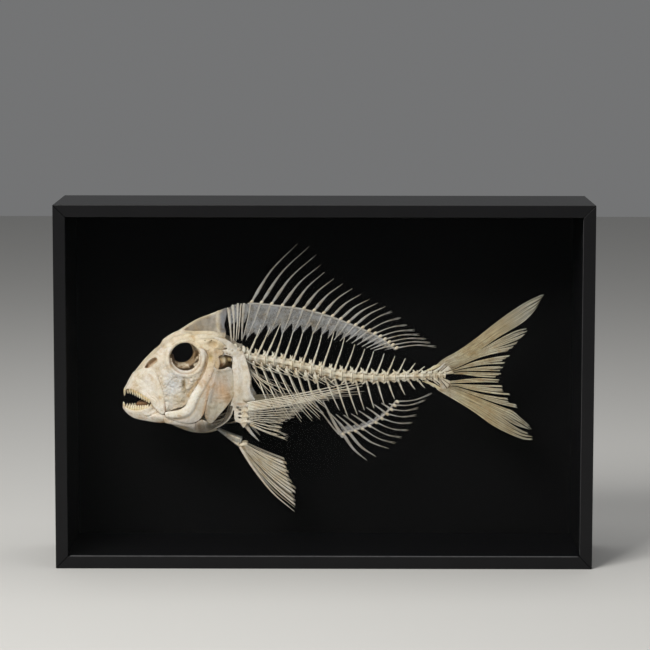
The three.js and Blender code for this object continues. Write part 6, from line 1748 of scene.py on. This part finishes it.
LOW = [([(119.0, 168.8), (126, 169.6), (134.2, 170.7), (146.7, 171.5), (158, 171.2), (168, 170.6)],
        [(118.8, 166.6), (126, 166.9), (134, 167.2), (146.7, 167.5), (158, 167.8), (168.8, 168.0)], 3, False),
       ([(118.8, 165.9), (126, 165.9), (136, 165.6), (146.7, 165.2), (158, 164.8), (171, 164.4)],
        [(118.8, 164.6), (126, 163.8), (136, 161.2), (146.7, 158.8), (162.5, 156.4), (176.6, 155.4)], 4, False),
       ([(118.6, 164.0), (126, 162.9), (136, 160.0), (146.7, 156.9), (162.5, 153.8), (179, 151.6)],
        [(118.2, 163.0), (126, 161.0), (142, 155.2), (160.9, 148.6), (172, 145.2), (185.3, 142.0)], 4, False),
       ([(117.4, 162.8), (124.4, 161.4), (142, 154.6), (160.9, 147.0), (171, 143.4), (178.6, 140.6), (186.6, 134.0), (200.0, 122.0)],
        [(116.6, 161.6), (124, 158.6), (142, 149.6), (156, 141.8), (168, 134.6), (178, 128.2), (187, 124.0), (194.6, 122.2)], 5, True),
       ([(116.4, 161.8), (124, 158.9), (142, 149.9), (156, 142.1), (168, 134.5), (178, 127.4), (187, 122.2), (195.8, 118.6)],
        [(105.6, 161.8), (109.8, 158.6), (126.3, 149.0), (142, 139.1), (157.7, 127.5), (173.5, 118.9), (189.2, 112.6), (202.0, 112.0)], 6, True)]
lw = Shape()
for q, (a, b, n, o) in enumerate(LOW):
    lw.join(blade(a, b, n, 11 + q, o, -0.02 if o else -0.03))
for k in range(5):
    lw.join(rod([(116.8 - 2.6 * k, 0, 158.6 + 1.4 * k), (110.4 - 3.0 * k, 0, 160.6 + 1.7 * k), (104.5 - 3.0 * k, 0, 164.4 + 1.0 * k)], [1.5, 1.3, 0.4], [2.0, 1.7, 0.5], 12, 8, spine_paint(TAIL_COL * 1.2, TAIL_COL * 1.3, 710 + k), 0.08, k))
make("tail_upper_rays", up, "tail_fin_upper", M_TAIL)
make("tail_lower_rays", lw, "tail_fin_lower", M_TAIL)

# ----------------------------------------------------------------------- case
F_, B_ = -CASE_D / 2, CASE_D / 2


def board(length, place, name):
    sec = [(F_, 0), (B_, 0), (B_, BACK_REBATE), (B_ - BACK_T - GAP, BACK_REBATE), (B_ - BACK_T - GAP, BOARD),
           (F_ + GLASS_IN + GLASS_T + GAP, BOARD), (F_ + GLASS_IN + GLASS_T + GAP, BOARD - GLASS_GROOVE), (F_ + GLASS_IN - GAP, BOARD - GLASS_GROOVE),
           (F_ + GLASS_IN - GAP, BOARD), (F_, BOARD)]
    V = [place(y, t, s * (length / 2 - t - 0.06)) for s in (-1, 1) for y, t in sec]
    n = len(sec)
    F = [(i, (i + 1) % n, n + (i + 1) % n, n + i) for i in range(n)] + [tuple(range(n - 1, -1, -1)), tuple(range(n, 2 * n))]
    P = np.array(V, float)
    vol = 0.0
    for q in F:
        for i in range(1, len(q) - 1):
            vol += np.dot(P[q[0]], np.cross(P[q[i]], P[q[i + 1]]))
    if vol < 0:
        F = [tuple(reversed(q)) for q in F]
    ob = make(name + "_board", Shape().add(P, F, (0, 0, 0)), name, M_FRAME, smooth_faces=False)
    m = ob.modifiers.new("arris", "BEVEL")
    m.width = 0.0006
    m.segments = 3
    m.limit_method = "ANGLE"
    m.harden_normals = False
    return ob


board(CASE_W, lambda y, t, l: (l, y, CASE_H - t), "frame_top")
board(CASE_W, lambda y, t, l: (l, y, t), "frame_bottom")
board(CASE_H, lambda y, t, l: (-CASE_W / 2 + t, y, CASE_H / 2 + l), "frame_left")
board(CASE_H, lambda y, t, l: (CASE_W / 2 - t, y, CASE_H / 2 + l), "frame_right")


def block(x0, x1, y0, y1, z0, z1):
    V = [(x, y, z) for x in (x0, x1) for y in (y0, y1) for z in (z0, z1)]
    F = [(0, 1, 3, 2), (4, 6, 7, 5), (0, 4, 5, 1), (2, 3, 7, 6), (0, 2, 6, 4), (1, 5, 7, 3)]
    return Shape().add(V, F, (0, 0, 0))


i_ = BACK_REBATE + GAP
make("back_board", block(-CASE_W / 2 + i_, CASE_W / 2 - i_, B_ - BACK_T, B_, i_, CASE_H - i_), "back_panel", M_LINING, smooth_faces=False)

# painted highlight: thin lighter strips on the bottom and right lip in front of the glass, for the light caught along
# their edges
make("lip_bottom", block(-CASE_W / 2 + BOARD + 2, CASE_W / 2 - BOARD - 2, F_ + 0.7, F_ + 2.3, BOARD + 0.02, BOARD + 0.62), None, M_LIP, smooth_faces=False)
make("lip_right", block(CASE_W / 2 - BOARD - 0.22, CASE_W / 2 - BOARD - 0.02, F_ + 0.7, F_ + 2.3, BOARD + 2, CASE_H - BOARD - 2), None, M_LIP, smooth_faces=False)
m, nt, p = node_tree("clear_glass")
p.inputs["Base Color"].default_value = (0.01, 0.012, 0.012, 1)
p.inputs["Roughness"].default_value = 0.03
p.inputs["IOR"].default_value = 1.5
p.inputs["Alpha"].default_value = 0.03
M_GLASS = m
i_ = BOARD - GLASS_GROOVE + GAP
g = make("glass_pane", block(-CASE_W / 2 + i_, CASE_W / 2 - i_, F_ + GLASS_IN, F_ + GLASS_IN + GLASS_T, i_, CASE_H - i_), "glass", M_GLASS, smooth_faces=False)
g.visible_shadow = False

for name, x, z, y0 in (("head", -101.0, 205.0, 18.6), ("tail", 62.5, float(col_z(62.5)), 3.4)):
    s = rod([(x, y0, z), (x, (y0 + 56) / 2, z), (x, B_ - BACK_T - GAP, z)], 3.0, 3.0, 10, 24, (0, 0, 0), ends=(1, 0))
    make("pin_" + name, s, "mount_pin_" + name, M_PIN)

# ------------------------------------------------------------ stage and light
me = bpy.data.meshes.new("floor")
me.from_pydata([(-4, -4, 0), (4, -4, 0), (4, 4, 0), (-4, 4, 0)], [], [(0, 1, 2, 3)])
floor = bpy.data.objects.new("floor", me)
bpy.context.scene.collection.objects.link(floor)
mf, nt, p = node_tree("floor_pale")
p.inputs["Base Color"].default_value = (0.56, 0.555, 0.54, 1)
p.inputs["Roughness"].default_value = 0.8
me.materials.append(mf)

world = bpy.data.worlds.new("studio")
bpy.context.scene.world = world
world.use_nodes = True
bg = world.node_tree.nodes["Background"]
bg.inputs[0].default_value = (0.86, 0.87, 0.88, 1)
bg.inputs[1].default_value = 0.20


def area(name, loc, target, size, power, colour=(1, 1, 1), size_y=None):
    l = bpy.data.lights.new(name, "AREA")
    l.energy = power
    l.color = colour
    l.size = size
    if size_y:
        l.shape = "RECTANGLE"
        l.size_y = size_y
    o = bpy.data.objects.new(name, l)
    o.location = loc
    d = np.array(target, float) - np.array(loc, float)
    z = -d / np.linalg.norm(d)
    x = np.cross((0, 0, 1), z)
    x /= np.linalg.norm(x)
    y = np.cross(z, x)
    o.matrix_world = Matrix(((x[0], y[0], z[0], loc[0]), (x[1], y[1], z[1], loc[1]), (x[2], y[2], z[2], loc[2]), (0, 0, 0, 1)))
    bpy.context.scene.collection.objects.link(o)
    return o


area("key", (-0.95, -1.55, 1.75), (0, 0, 0.17), 1.0, 54, (1.0, 0.985, 0.95))
area("fill", (1.3, -1.9, 0.75), (0, 0, 0.17), 1.0, 3.5, (0.95, 0.97, 1.0))
area("over", (0.0, 0.1, 2.0), (0, 0, 0.2), 1.2, 14, (1.0, 0.99, 0.97))

# --------------------------------------------------------------------- camera
cam = bpy.data.objects.new("camera", bpy.data.cameras.new("camera"))
bpy.context.scene.collection.objects.link(cam)
cam.data.sensor_width = 36.0
cam.data.lens = 2856.17 * 36.0 / 650.0
cam.data.clip_end = 50.0
pitch, yaw, roll = 0.119005, -0.00221599, 0.00130274
fwd = np.array([math.sin(yaw) * math.cos(pitch), math.cos(yaw) * math.cos(pitch), -math.sin(pitch)])
right = np.cross(fwd, (0, 0, 1))
right /= np.linalg.norm(right)
upv = np.cross(right, fwd)
rr = right * math.cos(roll) + upv * math.sin(roll)
uu = -right * math.sin(roll) + upv * math.cos(roll)
loc = np.array([6.57562, -2678.08, 542.206]) * MM
cam.matrix_world = Matrix([[rr[i], uu[i], -fwd[i], loc[i]] for i in range(3)] + [[0, 0, 0, 1]])
bpy.context.scene.camera = cam
bpy.context.scene.view_settings.view_transform = "Standard"

# ----------------------------------------------------------------------- update
bpy.context.view_layer.update()
